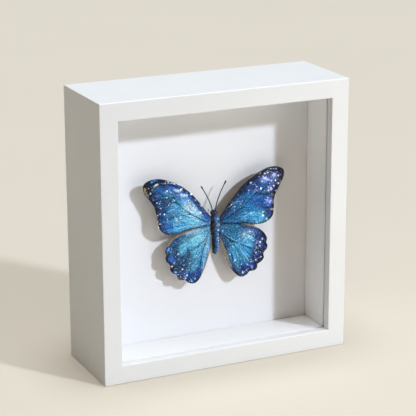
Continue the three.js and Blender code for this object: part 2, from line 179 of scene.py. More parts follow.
# Tan scales along the margins, and pale strokes, in the same form
TAN_LINES = {
    "forewing_left": (((57.6, 37.2, .5), (57.2, 34, .7), (54.6, 29.6, .35)),
                      ((44, 39.4, .25), (38, 39, .25)), ((48.9, 12, .25), (48.2, 5.6, .25))),
    "forewing_right": (((12, 19.6, .2), (21.6, 30.6, .25), (33, 38.6, .3), (42.5, 42.2, .25)),
                       ((46.2, 20.6, .3), (48.5, 20.8, .4)), ((45.6, 9.4, .35), (48.6, 9.6, .45))),
    "hindwing_left": (((13, .6, .7), (19, .3, .8), (26, -1.4, .6), (32, -3.3, .75),
                       (37, -6.2, .8), (40.6, -10, .6)),
                      ((5.4, -17, .3), (7.4, -24, .8), (10, -30, 1), (13, -35.4, .5)),
                      ((34, -34.6, .25), (31, -37.6, .3), (27, -38.8, .25))),
    "hindwing_right": (((22, .1, .3), (30, -2.4, .5), (35, -4.6, .4)),
                       ((4, -9, .4), (5, -15, 1.4), (7.2, -22, 1.7), (9.6, -28.2, 1.2),
                        (13.2, -35.2, .2))),
}
PALE_LINES = {
    "forewing_left": (((14, 8, .2), (20, 9.6, .25), (27, 8.4, .2)),
                      ((17, 4, .2), (25, 4.4, .25), (32, 2.6, .2)),
                      ((16, 15, .3), (21, 20, .35), (26, 23, .3)),
                      ((30, 17, .2), (35, 18.6, .25), (40, 17.6, .2)),
                      ((28, 9.6, .2), (33, 8.4, .2), (36, 5.8, .2), (33, 3.6, .2))),
    "forewing_right": (((21, 4.4, .2), (26, 7.6, .35), (32, 9.2, .35)),
                       ((34.4, 7.4, .3), (37.6, 6.6, .35), (38.6, 4, .3)),
                       ((11, 15, .2), (17, 18.6, .25), (22, 18, .2)),
                       ((38, 3, .3), (42, 2.6, .3))),
    "hindwing_left": (((12, -.6, .5), (19, -1.2, .8), (26, -2.6, .5)),
                      ((13, -18.6, .2), (15.6, -21.8, .3), (18.6, -20.4, .25)),
                      ((6, -8, .35), (8, -16, .45), (10.4, -25, .4), (12, -31, .2)),
                      ((10, -5, .3), (17, -7.6, .4), (24, -10.6, .35)),
                      ((11, -9, .3), (17, -11, .35), (22, -12.6, .25))),
    "hindwing_right": (((6.4, -5, .3), (12, -10, .3), (19, -14, .35), (27, -17.6, .3)),
                       ((20, -19.4, .3), (23.4, -24.6, .45), (26.8, -30, .3)),
                       ((21.6, -10, .25), (23.6, -7.6, .35), (27, -7, .3)),
                       ((17, -22, .3), (18.4, -28, .35), (17.6, -34, .2))),
}
# Soft areas of colour over the ground, in order: out, along, half length, half breadth, turn in
# degrees, colour, strength
PATCHES = {
    "forewing_left": (
        (43, 21, 7, 14, 0, "#163F70", .85),
        (18, 7, 13, 5, 14, "#7CC8F2", .9), (9, 8, 6, 3, 42, "#347ECC", .8),
        (19, 15.5, 8, 4, 48, "#9CD0F8", .92), (23, 20.5, 6, 3.6, 46, "#B4DAFA", .85),
        (28, 25, 5, 3, 30, "#4A92D6", .7), (29, 30, 9, 3, 28, "#4E86D8", .8),
        (38, 33.8, 9, 2.6, 10, "#2658A0", .85), (46, 33.5, 5, 3.6, 0, "#1C4C98", .85),
        (51.6, 32, 4, 3.4, 0, "#261C4C", .95), (50.5, 28.4, 3, 2, 20, "#182A70", .85),
        (34, 26.4, 6, 2.4, 8, "#1F62A0", .85), (43, 25, 6, 2.4, 6, "#153C70", .9),
        (36, 18.4, 9, 4, 5, "#2668A4", .85), (44, 20, 5, 4, 0, "#16406F", .9),
        (31, 8.5, 8, 3.5, 0, "#48A4DC", .8), (38, 12.6, 6, 2, 0, "#1C528F", .85),
        (30, 3, 10, 2.6, 0, "#58B4E8", .9), (40, 6, 5, 4, 0, "#1C60B0", .9),
        (46, 12, 2.8, 8, 0, "#113A70", .9), (44.6, 3.4, 3, 2.4, 0, "#143F8C", .85),
        (43, 39.2, 12, 1.7, 4, "#131319", 1), (55, 38, 5, 4.6, 0, "#15141A", 1),
        (37.6, 40.4, 3.4, .9, 24, "#3F7CCC", .9),
        (26.4, 28.7, 3.2, 1, 8, "#E8F0FF", .95), (31.6, 32.9, 2.4, 1.2, 20, "#DCE8FC", .95),
        (22.6, 18.4, 3, 2, 50, "#D8EAFC", .8), (13.2, 13.2, 1.6, 1.4, 40, "#DCEEFF", .8)),
    "forewing_right": (
        (12, 8, 12, 6, 25, "#0C548A", .95), (18, 18.6, 8, 4.6, 45, "#0D6098", .95),
        (22, 20.6, 6, 2.4, 20, "#126CA4", .8), (18, 26, 8, 2, 46, "#0E2444", .9),
        (23, 27.6, 5, 2.6, 40, "#12305C", .85), (30, 6, 12, 4.5, 5, "#3CA0E0", .95),
        (33, 3, 9, 3.4, 0, "#50B0E8", .88), (13, 3.4, 8, 2, 5, "#115288", .8),
        (30, 31, 9, 4, 42, "#16387E", .9), (42, 37, 9, 3, 10, "#1C2664", .9),
        (43, 33.2, 5.6, 2.6, -14, "#7C82D8", .8), (46.4, 26.6, 4, 2.4, 15, "#6470D0", .8),
        (36, 27, 5, 3, 20, "#243684", .8), (37, 17.6, 9, 4.4, -5, "#2357AC", .98),
        (44.6, 16.6, 3.6, 3, -20, "#5478E0", .9), (40, 22.4, 9, 1.3, -6, "#151B4A", .92),
        (42.6, 11.4, 7, 1.4, -14, "#18225C", .92), (43.6, 7.6, 3.6, 2.4, 0, "#20408C", .85),
        (49.5, 36.2, 3, 2.2, 0, "#9C9CEC", .8), (33, 26, 1.8, 1.2, 0, "#6E70A8", .7),
        (49.5, 40.8, 4, 1.2, -4, "#24406C", .8), (16, 2.6, 14, 2.4, -3, "#1470B0", .95),
        (8, 6.4, 5.5, 3, 42, "#126498", .9)),
    "hindwing_left": (
        (28, -27, 9, 7, -40, "#0B335E", .9),
        (15, -8, 13, 6.5, -28, "#86D6F6", .95), (19, -1.6, 8, 1.5, -4, "#B4CCF0", .75),
        (8, -16, 3.2, 12, 14, "#84C4F0", .9), (10.4, -26, 2, 7, 14, "#5AA4E0", .8),
        (20, -16, 8, 5.6, -35, "#58B8E6", .85), (23.4, -15.2, 2.2, 1.5, -60, "#10406C", .85),
        (15.6, -24, 3.8, 7, 10, "#2A80B4", .85), (26, -22, 8, 5.6, -45, "#0B3A66", .94),
        (36.5, -9.5, 4.6, 4, -40, "#14487C", .9), (33.6, -18, 3.6, 8, 10, "#0F2C5A", .95),
        (38.2, -21.6, 2.9, 2.4, 30, "#1F5CD2", 1), (40.8, -12.6, 1.6, 1.5, 0, "#4C98F0", 1),
        (36.6, -27.4, 3, 2.4, 0, "#10122A", .95), (21, -36, 8, 4.2, -10, "#12387C", .92),
        (15.4, -33.5, 3.2, 3, 0, "#1E52A2", .8), (31, -33, 5, 3, -30, "#0F2E62", .9),
        (35.6, -31.4, 2.4, 1, 28, "#3C84DC", .85), (27, -35.4, 3, 2.4, -20, "#3A5CB8", .7)),
    "hindwing_right": (
        (12, -5, 9, 3.6, -18, "#20709E", .9), (10, -12, 6, 4.4, -52, "#124668", .95),
        (20, -9.4, 8, 3, -24, "#2C84BC", .9), (26, -10, 5.4, 3.4, -24, "#88C0EA", .92),
        (27, -16, 7, 3, -24, "#54ACE6", .92), (24, -24, 2.8, 7, 20, "#48A2E2", .95),
        (20, -17.6, 6, 2, -30, "#4CA8E0", .85), (13.6, -24, 3.6, 7, 14, "#3C9ED4", .88),
        (17.4, -31, 2.2, 5, 5, "#3694D0", .92), (31, -7.6, 5, 2, -28, "#7896D8", .85),
        (35.5, -10.6, 3, 2.6, -40, "#1C2E78", .85), (36, -16.4, 4, 3, 0, "#2C4098", .8),
        (34, -22.6, 5, 5, 0, "#18286A", .92), (31, -29, 4.6, 4.4, 0, "#192866", .92),
        (24.6, -35, 7, 4, 0, "#182C72", .92), (28.6, -34.6, 2, 1.6, 0, "#2456C0", .8),
        (8.4, -14, 1.4, 7, 16, "#1B5688", .7), (14, -1, 13, 2.8, -4, "#20709E", .95),
        (33.6, -5.6, 4.4, 1.6, -32, "#2F62B4", .85),
        (8, -7, 3, 6.5, 24, "#1A6694", .85)),
}
# Large glitter grains, painted pale as highlights of the sun: out, along, radius
SPARKLES = {
    "forewing_left": (
        (12, 18.5, .45), (16.5, 23.5, .45), (20, 28.5, .5),
        (28, 34, .45), (31, 37.5, .45), (34, 38.2, .45), (36, 39, .5), (38.5, 40.5, .8),
        (40, 33.2, .5), (37, 20.4, .35), (35.4, 14.4, .35), (46.8, 8.8, .45), (29.6, 11.6, .4),
        (29, 33, .7), (31.6, 32.6, .95), (33.4, 33.6, .6), (37, 32.1, .55), (24.3, 28.3, .95),
        (26.4, 29, .8), (28.6, 29.4, .8), (20.3, 28.5, .55), (23, 24, .6), (25.6, 22.3, .7),
        (13, 13.2, .95), (19, 17.6, .85), (22.8, 16.8, .95), (24, 19, .7), (12.6, 10.3, .4),
        (43, 15.8, .6), (48.3, 15.4, .5), (41, 11.8, .5), (44, 12.1, .5), (33.2, 10, .5),
        (30.1, 11, .55), (41.3, 32.4, .5), (53, 32.7, .65), (51, 27.3, .5), (40.5, 28.4, .5),
        (34.2, 25.6, .55), (48.4, 25.3, .65), (45.9, 20.7, .45), (48.5, 10.6, .5), (48, 6.2, .55),
        (27, 16.4, .5), (17, 15.6, .6), (35, 35.4, .5), (46.4, 24.4, .45), (39.3, 22.6, .4)),
    "forewing_right": (
        (49.3, 36.4, 1.3), (53, 35.4, .75), (48.8, 28, .65), (53, 29.4, .65), (43.2, 33.2, .9),
        (46.8, 32, .75), (41.4, 38.3, .65), (44, 38.8, .65), (36, 36.5, .6), (29.2, 32.5, .7),
        (27.3, 26.5, .5), (34, 29, .5), (37.6, 27, .7), (38.8, 32.6, .6), (47, 41.5, .45),
        (49.2, 41.2, .4), (51.6, 41, .45), (44, 24.9, .65), (46, 26.7, .7), (50.4, 24, .6),
        (43, 19.3, .6), (41, 18.1, .55), (44.5, 15.4, .9), (43.2, 13, .6), (38.7, 8.2, .65),
        (38.7, 5.3, .8), (42, 2.5, .65), (43.6, 1.1, .6), (33.8, .6, .5), (13.2, 16.7, .45),
        (15.8, 14.7, .4), (20.4, 16.4, .35), (40.6, 34.6, .7), (45, 30.4, .6), (50.6, 32, .6)),
    "hindwing_left": (
        (38, -26.4, .65), (35.7, -23.7, .55), (29.2, -29.5, .65), (25.6, -34.6, .65),
        (17, -28.6, .55), (27.6, -26.6, .5), (32, -17.2, .6), (22.8, -25.8, .4),
        (40.6, -12.6, .6), (19, -38.4, .45), (22, -39.8, .45), (27, -37, .5), (33, -33, .45),
        (35, -31, .45), (31, -35.4, .4), (23.6, -31, .4), (16.4, -20.6, .35), (27.6, -23, .4)),
    "hindwing_right": (
        (23.6, -8.5, .75), (27.5, -10.6, .6), (28.4, -6.8, .65), (37, -16, .65), (36.4, -19, .55),
        (33, -24, .65), (37, -27.8, .55), (32.5, -29.6, .5), (15.4, -28.4, .65), (20.7, -32, .6),
        (29, -35, .7), (24.3, -37.2, .55), (21.2, -38.6, .65), (28.4, -30.8, .55),
        (38.6, -13.4, .5), (14, -17.6, .45), (6.3, -4, .5), (11.5, -23.4, .5), (31, -14, .45),
        (34, -16.4, .5), (20, -11.8, .4), (25.4, -33, .4), (33.4, -19.6, .45)),
}
# Colours of the glints, painted highlights of the sun on the glitter, the PALEST first
PALEST = 3
PAINTED_GLINTS = {
    "forewing_left": ("#F8FCFF", "#E0F0FF", "#C8E6FF", "#8CC8F6", "#6FA8F0", "#B9B6F4"),
    "forewing_right": ("#F8FAFF", "#E2EAFF", "#C8D8FF", "#8FA4F4", "#74B8F4", "#B4BCEE"),
    "hindwing_left": ("#F6FBFF", "#D4EBFF", "#B0DCFC", "#5C9CF4", "#3E74E8", "#B4C0F4"),
    "hindwing_right": ("#F6FAFF", "#D8EAFF", "#BCDAFF", "#6C9CF0", "#6C8CE8", "#9AD0F0"),
}
# Grains of their own colour: out, along, radius, colour
FLECKS = {
    "forewing_left": (
        (47.3, 39, .8, "#D2CCB0"), (48.5, 38.5, .95, "#E6E0C6"), (49.7, 37.9, .7, "#C8C0A0"),
        (48.4, 42.4, .9, "#1C5CB4"), (49.6, 41.9, .8, "#2874CC"), (51.5, 41, .95, "#3C9AEE"),
        (52.6, 40.7, .6, "#1F66BC"), (47.4, 41.8, .6, "#1A4A92"), (41.3, 39.4, .7, "#9C9480"),
        (57, 36, .8, "#A48C66"), (56.2, 33.4, .5, "#84765C"), (45, 31, .45, "#8C78A0"),
        (48.6, 11, .6, "#A89878"), (48.5, 8.4, .5, "#968868"), (38.6, 40.8, .8, "#8CC0F4"),
        (33, 37.9, .6, "#5C94DC"), (30.2, 35.6, .6, "#4A84D0"), (24, 30.6, .55, "#5A90D8"),
        (17, 24.2, .5, "#4678C4"), (13.5, 19.6, .5, "#3F70BC"), (50.8, 27.3, .7, "#3C8CE4")),
    "forewing_right": (
        (32.2, 24.8, .7, "#7E84B0"), (34.2, 25.8, .6, "#9498B8"), (46.8, 21.8, .6, "#96908A"),
        (50.4, 24, .8, "#70B0F4"), (45.6, 10, .6, "#B8A888"), (47.4, 9.6, .7, "#C8B894"),
        (52, 38.2, 1, "#4858C8"), (40, 36, .9, "#A4B0F0"), (42.4, 34.6, 1.1, "#C0C4F6"),
        (44.8, 32.4, .9, "#B4B4F0"), (46.2, 25.8, 1.1, "#C8D0FA"), (44, 27.2, .8, "#A8B4F2"),
        (42.6, 17.4, 1, "#8CB0F8"), (44.8, 16, 1.1, "#A4BCFA"), (46.4, 17.8, .8, "#6C94EC"),
        (29, 8.4, .9, "#9CD8FA"), (31, 9, .8, "#84C8F4"), (35.4, 8, .7, "#A8DCFA")),
    "hindwing_left": (
        (40.4, -12, 1.0, "#58A4F4"), (41.2, -13.4, .8, "#3A84E4"), (37.6, -20.2, 1, "#2468E0"),
        (39, -21.2, 1, "#1F5ED6"), (37, -22.8, .9, "#1C56C8"), (40.2, -19.6, .7, "#3880EA"),
        (35.8, -23.6, .7, "#B8C4D8"), (38, -26.2, .8, "#E4E8F0"), (23.2, -16.2, .8, "#0E3C68"),
        (21.4, -40.4, .8, "#3C84E0"), (23.6, -39.6, .6, "#5A9CE8"), (27.4, -35.4, .8, "#6C88D8"),
        (12, -1.6, .9, "#5CB8F0"), (34.8, -31.6, .7, "#4C98E8"), (36.4, -30.6, .6, "#3A80D8")),
    "hindwing_right": (
        (29, -34.6, 1.1, "#3C7CF0"), (21.4, -38.8, .9, "#6CB0F8"), (36.8, -15.9, .9, "#D4DEF2"),
        (36, -18.8, .8, "#A4A4E0"), (27.5, -10.5, .9, "#B8E4FC"), (24.4, -7.8, .9, "#A0CCF4"),
        (31.8, -22.4, .7, "#6C74A8"), (37.2, -27.8, .7, "#B4B8E0"), (24.4, -37.2, .7, "#9CA4D0"),
        (15.4, -28.3, 1, "#A8E0F8"), (6.2, -4, .8, "#8CC8E8"), (14, -17.4, .6, "#70C0E4"),
        (33.6, -25.6, .9, "#4C68C0"), (29.8, -30.8, .8, "#5078D8"), (40.6, -20.4, .8, "#2A50B8")),
}

# Body segments from head to tail: length, greatest radius, share of it lost at the joints. Then
# the body's top on the board, its colours, its grains and how flat its section is
BODY_SEGMENTS = (
    (4.4, 2.65, .3), (4.2, 3.3, .2), (4.3, 3.7, .14), (4.2, 3.6, .14), (3.3, 3.1, .2),
    (2.25, 2.65, .09), (2.25, 2.85, .08), (2.25, 2.85, .08), (2.25, 2.8, .08),
    (2.25, 2.65, .08), (3.1, 2.4, .08),
)
SEGMENT_ENDS = np.cumsum([0] + [length for length, _, _ in BODY_SEGMENTS])
BODY_LENGTH = SEGMENT_ENDS[-1]
BODY_TOP = 13.2
SCALE_HEIGHT = 0.035
BODY_ROWS = 220
BODY_SIDES = 72
# The black and dusk below are painted shade: they darken the body's left half, away from the sun,
# and the blue is its lit side
BODY_PAINTED_SHADE = "#050709"
BODY_PAINTED_HALF_SHADE = "#0F3048"
BODY_BLUE = "#0C4A84"
BODY_RINGS = "#1C7CBE"
TAIL_BLUE = "#0E1E3C"
# Painted highlight: the white beads down the body's lit side
BODY_GLINT_WHITE = "#DCEBFF"
HEAD_DOWN = 2.6
HEAD_BLACK = "#0A0D14"
# Painted light: the head's one blue spot is on its lit side, the rest of the head black
HEAD_LIT_SPOT = "#2A78C8"
BODY_GLINTS = ("#1A6CC4", "#3A98E4", "#1252A0", "#84C8F8", "#0F427A", "#08284C")
BODY_GRAINS = 420
BODY_GRAIN_STANDOFF = 0.05
BODY_FLATNESS = 0.94
# Axis of the body: place across, place along, standoff from the board
BODY_AXIS = ((-1.1, BODY_TOP, 6.6), (-.6, 8.6, 7.2), (-.1, 4, 7.6), (.15, -3, 7.6),
             (.5, -12, 7.6), (.8, -21.6, 7.2))
# Eyes, with how far they stand sideways, forward and below the top, then the palps' route from
# the head's middle and the body's top, and the legs' routes, all as out, along and standoff
EYE_BLACK = "#08080B"
EYE_RADIUS = 1.35
EYE_SPREAD = 1.75
EYE_FORWARD = 0.5
EYE_DROP = 2.1
PALP_ROUTE = ((0.7, -1.4, 1.2), (0.8, 0.3, 1.5), (0.6, 0.9, 1.2))
PALP_RADII = (0.42, 0.14)
PALP_STEPS = 14
LEG_STEPS = 26
LEG_RADIUS = 0.3
LEG_ROUTES = (
    ((1.2, 6.5, 5), (3.8, 9.5, 3), (2.2, 12.6, 1.4)),
    ((1.4, 2.6, 4.6), (4.8, 4.4, 2.6), (3, -2.6, 1)),
    ((1.2, -2, 4.8), (4.4, -2.2, 2.6), (2.4, -10, 1)),
)
# Antennae: radius of the shaft and of the club, length past the route's end, and the routes as
# place across, along and standoff
ANTENNA_RADIUS = 0.35
ANTENNA_CLUB = 0.62
CLUB_LENGTH = 1.6
ANTENNA_ROUTES = {
    "antenna_left": ((-1.7, 11.6, 7.6), (-3, 14, 8.9), (-4.6, 18.3, 9.4), (-8, 25.5, 9.5),
                     (-12.1, 32.5, 9.5)),
    "antenna_right": ((-.3, 11.6, 7.6), (-.5, 14.1, 8.9), (.7, 20.2, 9.4), (3.5, 27.6, 9.5),
                      (7.2, 34.7, 9.5)),
}
# Pin: where it stands on the specimen, its radius, point and head, how far it stands off the
# board and how deep it goes in
PIN_PLACE = (0.0, 2.4)
PIN_RADIUS = 0.24
PIN_POINT = 1.6
PIN_HEAD = 0.8
PIN_STANDOFF = 11.6
PIN_BITE = 6.0

# Camera of the photograph, in metres and degrees
CAMERA_PLACE = (-0.5086, -1.0871, 0.4728)
CAMERA_PITCH = 16.63
CAMERA_YAW = 25.08
CAMERA_ROLL = -0.18
CAMERA_LENS = 143.4
# Lights: the way that each one travels, the angle in degrees that a soft one fills, its colour,
# and the place and size of the small one at the side, in metres
SUN_TRAVEL = (-0.71, 1.0, -0.67)
TOP_ANGLE = 30.0
TOP_COLOUR = (0.9, 0.95, 1.0)
FILL_TRAVEL = (0.45, 1.0, -1.0)
FILL_ANGLE = 40.0
FILL_COLOUR = (1.0, 0.72, 0.46)
SIDE_LIGHT_PLACE = (0.36, -0.34, 0.09)
SIDE_LIGHT_TRAVEL = (-0.9, 1.0, 0.0)
SIDE_LIGHT_SIZE = 0.3
SIDE_LIGHT_COLOUR = (1.0, 0.93, 0.86)


def linear(code):
    """The linear colour of a #rrggbb code: c/12.92 below 0.04045, else ((c + 0.055)/1.055)^2.4."""
    values = np.array([int(code[i:i + 2], 16) for i in (1, 3, 5)]) / 255
    return np.where(values <= 0.04045, values / 12.92, ((values + 0.055) / 1.055) ** 2.4)


def rgba(code):
    """The same colour with a full alpha, for a socket or a ramp's stop."""
    return (*linear(code).tolist(), 1.0)


def smooth_step(low, high, values):
    """3t^2 - 2t^3 of t, the share of the way from low to high, held between 0 and 1."""
    t = np.clip((values - low) / (high - low), 0, 1)
    return t * t * (3 - 2 * t)


def even_curve(points, count):
    """count points spread evenly along a Catmull-Rom curve with tension 0.5 through points.

    On a span p1 to p2 it is p1 + (p2 - p0)t/2 + (2p0 - 5p1 + 4p2 - p3)t^2/2 +
    (3p1 - p0 - 3p2 + p3)t^3/2, and each end has a mirrored point beyond it.
    """
    points = np.asarray(points, float)
    padded = np.vstack([2 * points[0] - points[1], points, 2 * points[-1] - points[-2]])
    t = np.linspace(0, 1, 25)[:-1, None]
    p0, p1, p2, p3 = (padded[i:len(padded) - 3 + i, None] for i in range(4))
    dense = (p1 + (p2 - p0) * t / 2 + (2 * p0 - 5 * p1 + 4 * p2 - p3) * t ** 2 / 2
             + (3 * p1 - p0 - 3 * p2 + p3) * t ** 3 / 2).reshape(-1, points.shape[1])
    dense = np.vstack([dense, points[-1]])
    reach = np.r_[0, np.cumsum(np.linalg.norm(np.diff(dense[:, :2], axis=0), axis=1))]
    at = np.linspace(0, reach[-1], count)
    return np.stack([np.interp(at, reach, column) for column in dense.T], axis=1)


def distance_to_lines(places, lines):
    """Distance from each place to the nearest of lines, less the half width of the line there.

    Each span gives |p - (s + t(e - s))| - w(t), with t the foot of the perpendicular, held to
    the span, and w the straight blend of its ends' half widths.
    """
    spans = [np.stack([line[:-1], line[1:]], axis=1) for line in lines]
    spans = np.concatenate(spans)
    start, end = spans[:, 0, :2], spans[:, 1, :2]
    step = end - start
    length = np.maximum((step ** 2).sum(1), 1e-9)
    nearest = np.full(len(places), np.inf)
    for first in range(0, len(places), 4000):
        block = places[first:first + 4000, None]
        t = np.clip(((block - start) * step).sum(2) / length, 0, 1)
        away = np.linalg.norm(block - start - t[..., None] * step, axis=2)
        width = spans[:, 0, 2] * (1 - t) + spans[:, 1, 2] * t
        nearest[first:first + 4000] = (away - width).min(1)
    return nearest


def distance_to_strokes(places, strokes):
    """The same distance to curves drawn through short lists of points."""
    return distance_to_lines(places, [even_curve(line, 8 * len(line)) for line in strokes])


def distance_to_margin(places, edge):
    """The same distance to an outline, with no regard to the width of its border."""
    return distance_to_lines(places, [np.c_[edge[:, :2], np.zeros(len(edge))]])


def inside_outline(places, edge):
    """True where a ray along the first axis crosses the closed line edge an odd number of times."""
    crossings = np.zeros(len(places), int)
    for (a0, b0), (a1, b1) in zip(edge, np.roll(edge, -1, axis=0)):
        if b0 == b1:
            continue
        spans = (places[:, 1] < b0) != (places[:, 1] < b1)
        crossings += spans & (places[:, 0] < a0 + (places[:, 1] - b0) / (b1 - b0) * (a1 - a0))
    return crossings % 2 == 1


def on_board(across, along, standoff):
    """Specimen millimetres to row-frame metres: a turn about the board's normal and a shift."""
    x = across * math.cos(SPECIMEN_TURN) + along * math.sin(SPECIMEN_TURN) + SPECIMEN_X
    z = along * math.cos(SPECIMEN_TURN) - across * math.sin(SPECIMEN_TURN) + SPECIMEN_Z
    return np.stack([x * MM, BOARD_Y - standoff * MM, z * MM], axis=-1)


def grid_faces(rows, columns, close_columns=True):
    """Quads of a rows by columns grid of points, joined round in columns if it closes."""
    wide = columns if close_columns else columns - 1
    row, column = np.meshgrid(np.arange(rows - 1), np.arange(wide), indexing="ij")
    after = (column + 1) % columns
    corners = (row * columns + column, row * columns + after,
               (row + 1) * columns + after, (row + 1) * columns + column)
    return np.stack([c.ravel() for c in corners], axis=1)


def end_fans(rows, sides):
    """Triangles that close a stack of rings at either end, to the two points after the rings."""
    column = np.arange(sides)
    after = (column + 1) % sides
    base = (rows - 1) * sides
    start = np.full(sides, rows * sides)
    return [np.stack([start, after, column], axis=1),
            np.stack([start + 1, base + column, base + after], axis=1)]


def signed_volume(points, faces):
    """Sixth of the sum of a.(b x c) over the faces' triangles, positive if they face out."""
    middle = points.mean(0)
    corner = [points[faces[:, i]] - middle for i in range(faces.shape[1])]
    fans = [(corner[0], corner[i], corner[i + 1]) for i in range(1, faces.shape[1] - 1)]
    return sum((a * np.cross(b, c)).sum() for a, b, c in fans) / 6


def facing_out(points, faces):
    """The face arrays of one closed part, turned over if they enclose a negative volume."""
    volume = sum(signed_volume(points, group) for group in faces)
    return [group[:, ::-1] if volume < 0 else group for group in faces]


def closed_mesh(name, points, faces, material, attributes=None, weld=False, smooth=True):
    """A mesh object of face arrays, with a value for each point under each attribute's name."""
    mesh = bpy.data.meshes.new(name)
    mesh.from_pydata(points.tolist(), [], [face for group in faces for face in group.tolist()])
    for label, values in (attributes or {}).items():
        kind = {1: "FLOAT", 2: "FLOAT2", 3: "FLOAT_VECTOR", 4: "FLOAT_COLOR"}[
            1 if values.ndim == 1 else values.shape[1]]
        field = {"FLOAT": "value", "FLOAT_COLOR": "color"}.get(kind, "vector")
        layer = mesh.attributes.new(label, kind, "POINT")
        layer.data.foreach_set(field, values.astype(np.float32).ravel())
    if weld:
        shape = bmesh.new()
        shape.from_mesh(mesh)
        bmesh.ops.remove_doubles(shape, verts=shape.verts, dist=1e-7)
        shape.to_mesh(mesh)
        shape.free()
    if smooth:
        mesh.shade_smooth()
    else:
        mesh.shade_flat()
    mesh.materials.append(material)
    piece = bpy.data.objects.new(name, mesh)
    bpy.context.scene.collection.objects.link(piece)
    return piece


def join_parts(parts):
    """One points array and its face arrays from (points, face arrays, values) parts, each of
    them closed and made to face out on its own."""
    points, faces, values, first = [], [], [], 0
    for part_points, part_faces, part_values in parts:
        points.append(part_points)
        faces += [group + first for group in facing_out(part_points, part_faces)]
        values.append(part_values)
        first += len(part_points)
    return np.concatenate(points), faces, np.concatenate(values)


def tube(centres, radii, sides):
    """A closed tube: rings of radius r round each centre, in the plane square to the path, and
    a point at either end. The first side of each ring is carried along without twist."""
    along = np.gradient(centres, axis=0)
    along /= np.linalg.norm(along, axis=1)[:, None]
    side = np.cross(along, (0.0, 1.0, 0.001))
    side /= np.linalg.norm(side, axis=1)[:, None]
    up = np.cross(along, side)
    turn = np.linspace(0, 2 * np.pi, sides, endpoint=False)
    ring = np.cos(turn)[None, :, None] * side[:, None] + np.sin(turn)[None, :, None] * up[:, None]
    points = (centres[:, None] + radii[:, None, None] * ring).reshape(-1, 3)
    points = np.vstack([points, centres[0], centres[-1]])
    return points, [grid_faces(len(centres), sides), *end_fans(len(centres), sides)]


def ball(middle, radius, rows, sides):
    """A sphere: middle + r (sin p cos q, sin p sin q, cos p), with a point at either pole."""
    polar = np.linspace(0, np.pi, rows + 2)[1:-1]
    path = middle + np.outer(np.cos(polar), (0, 0, 1)) * radius
    points, faces = tube(path, np.sin(polar) * radius, sides)
    points[-2] = middle + np.array((0, 0, 1)) * radius
    points[-1] = middle - np.array((0, 0, 1)) * radius
    return points, faces


class Wire:
    """An output socket of a shader node, with Python's operators: each adds a Math node."""

    def __init__(self, tree, socket):
        self.tree = tree
        self.socket = socket

    @staticmethod
    def node(tree, kind, settings=None, inputs=None, output=0):
        """Adds a node of a kind, sets it, then feeds its sockets values or wires."""
        made = tree.nodes.new(kind)
        for key, value in (settings or {}).items():
            if key == "stops":
                ramp = made.color_ramp
                while len(ramp.elements) < len(value):
                    ramp.elements.new(0.5)
                for element, (place, colour) in zip(ramp.elements, value):
                    element.position = place
                    element.color = colour
            else:
                setattr(made, key, value)
        for key, value in (inputs or {}).items():
            if isinstance(value, Wire):
                tree.links.new(value.socket, made.inputs[key])
            elif value is not None:
                made.inputs[key].default_value = value
        return Wire(tree, made.outputs[output])

    def math(self, operation, *values, clamp=False):
        inputs = dict(enumerate(values))
        settings = {"operation": operation, "use_clamp": clamp}
        return Wire.node(self.tree, "ShaderNodeMath", settings, inputs)

    def __add__(self, other):
        return self.math("ADD", self, other)

    __radd__ = __add__

    def __mul__(self, other):
        return self.math("MULTIPLY", self, other)

    def __sub__(self, other):
        return self.math("SUBTRACT", self, other)

    def between(self, low, high):
        """0 at low, 1 at high and smooth between them; low may be the larger one."""
        settings = {"interpolation_type": "SMOOTHSTEP"}
        inputs = {0: self, 1: low, 2: high}
        return Wire.node(self.tree, "ShaderNodeMapRange", settings, inputs)

    def blend(self, first, second):
        """A colour Mix of two colours with this value as its factor."""
        settings = {"data_type": "RGBA", "clamp_factor": True}
        inputs = {0: self, 6: first, 7: second}
        return Wire.node(self.tree, "ShaderNodeMix", settings, inputs, 2)


class Finish:
    """A material of one Principled shader, and the nodes that its maker adds."""

    def __init__(self, name, colour, roughness, metallic=0.0, **others):
        self.material = bpy.data.materials.new(name)
        self.material.use_nodes = True
        self.tree = self.material.node_tree
        self.shader = self.tree.nodes["Principled BSDF"]
        fixed = {"Base Color": colour, "Roughness": roughness, "Metallic": metallic, **others}
        for socket, value in fixed.items():
            self.set(socket, value)

    def set(self, socket, value):
        """Sets a socket of the shader, or links a wire to it."""
        if isinstance(value, Wire):
            self.tree.links.new(value.socket, self.shader.inputs[socket])
        else:
            self.shader.inputs[socket].default_value = value

    def place(self):
        """The piece's Object coordinates, in metres."""
        return Wire.node(self.tree, "ShaderNodeTexCoord", output="Object")

    def attribute(self, name, output="Fac"):
        return Wire.node(self.tree, "ShaderNodeAttribute", {"attribute_name": name}, output=output)

    def noise(self, vector, scale, detail=3.0, roughness=0.55, distortion=0.0):
        """Perlin noise from 0 to 1. scale counts features a metre on Object coordinates."""
        inputs = {"Vector": vector, "Scale": scale, "Detail": detail, "Roughness": roughness,
                  "Distortion": distortion}
        return Wire.node(self.tree, "ShaderNodeTexNoise", None, inputs)

    def cells(self, vector, scale):
        """A random colour for each Voronoi cell."""
        inputs = {"Vector": vector, "Scale": scale}
        return Wire.node(self.tree, "ShaderNodeTexVoronoi", None, inputs, "Color")

    def multiply(self, first, second):
        """One colour times another."""
        settings = {"data_type": "RGBA", "blend_type": "MULTIPLY"}
        inputs = {0: 1.0, 6: first, 7: second}
        return Wire.node(self.tree, "ShaderNodeMix", settings, inputs, 2)

    def stretch(self, vector, scale):
        """A Mapping node that scales a vector along each axis."""
        return Wire.node(self.tree, "ShaderNodeMapping", None, {"Vector": vector, "Scale": scale})

    def grey(self, wire):
        """One number from a colour, its red share."""
        return Wire.node(self.tree, "ShaderNodeSeparateColor", None, {"Color": wire})

    def bump(self, height, strength, distance):
        """Feeds a Bump node of that height to the shader's Normal."""
        inputs = {"Strength": strength, "Distance": distance, "Height": height}
        self.set("Normal", Wire.node(self.tree, "ShaderNodeBump", None, inputs))


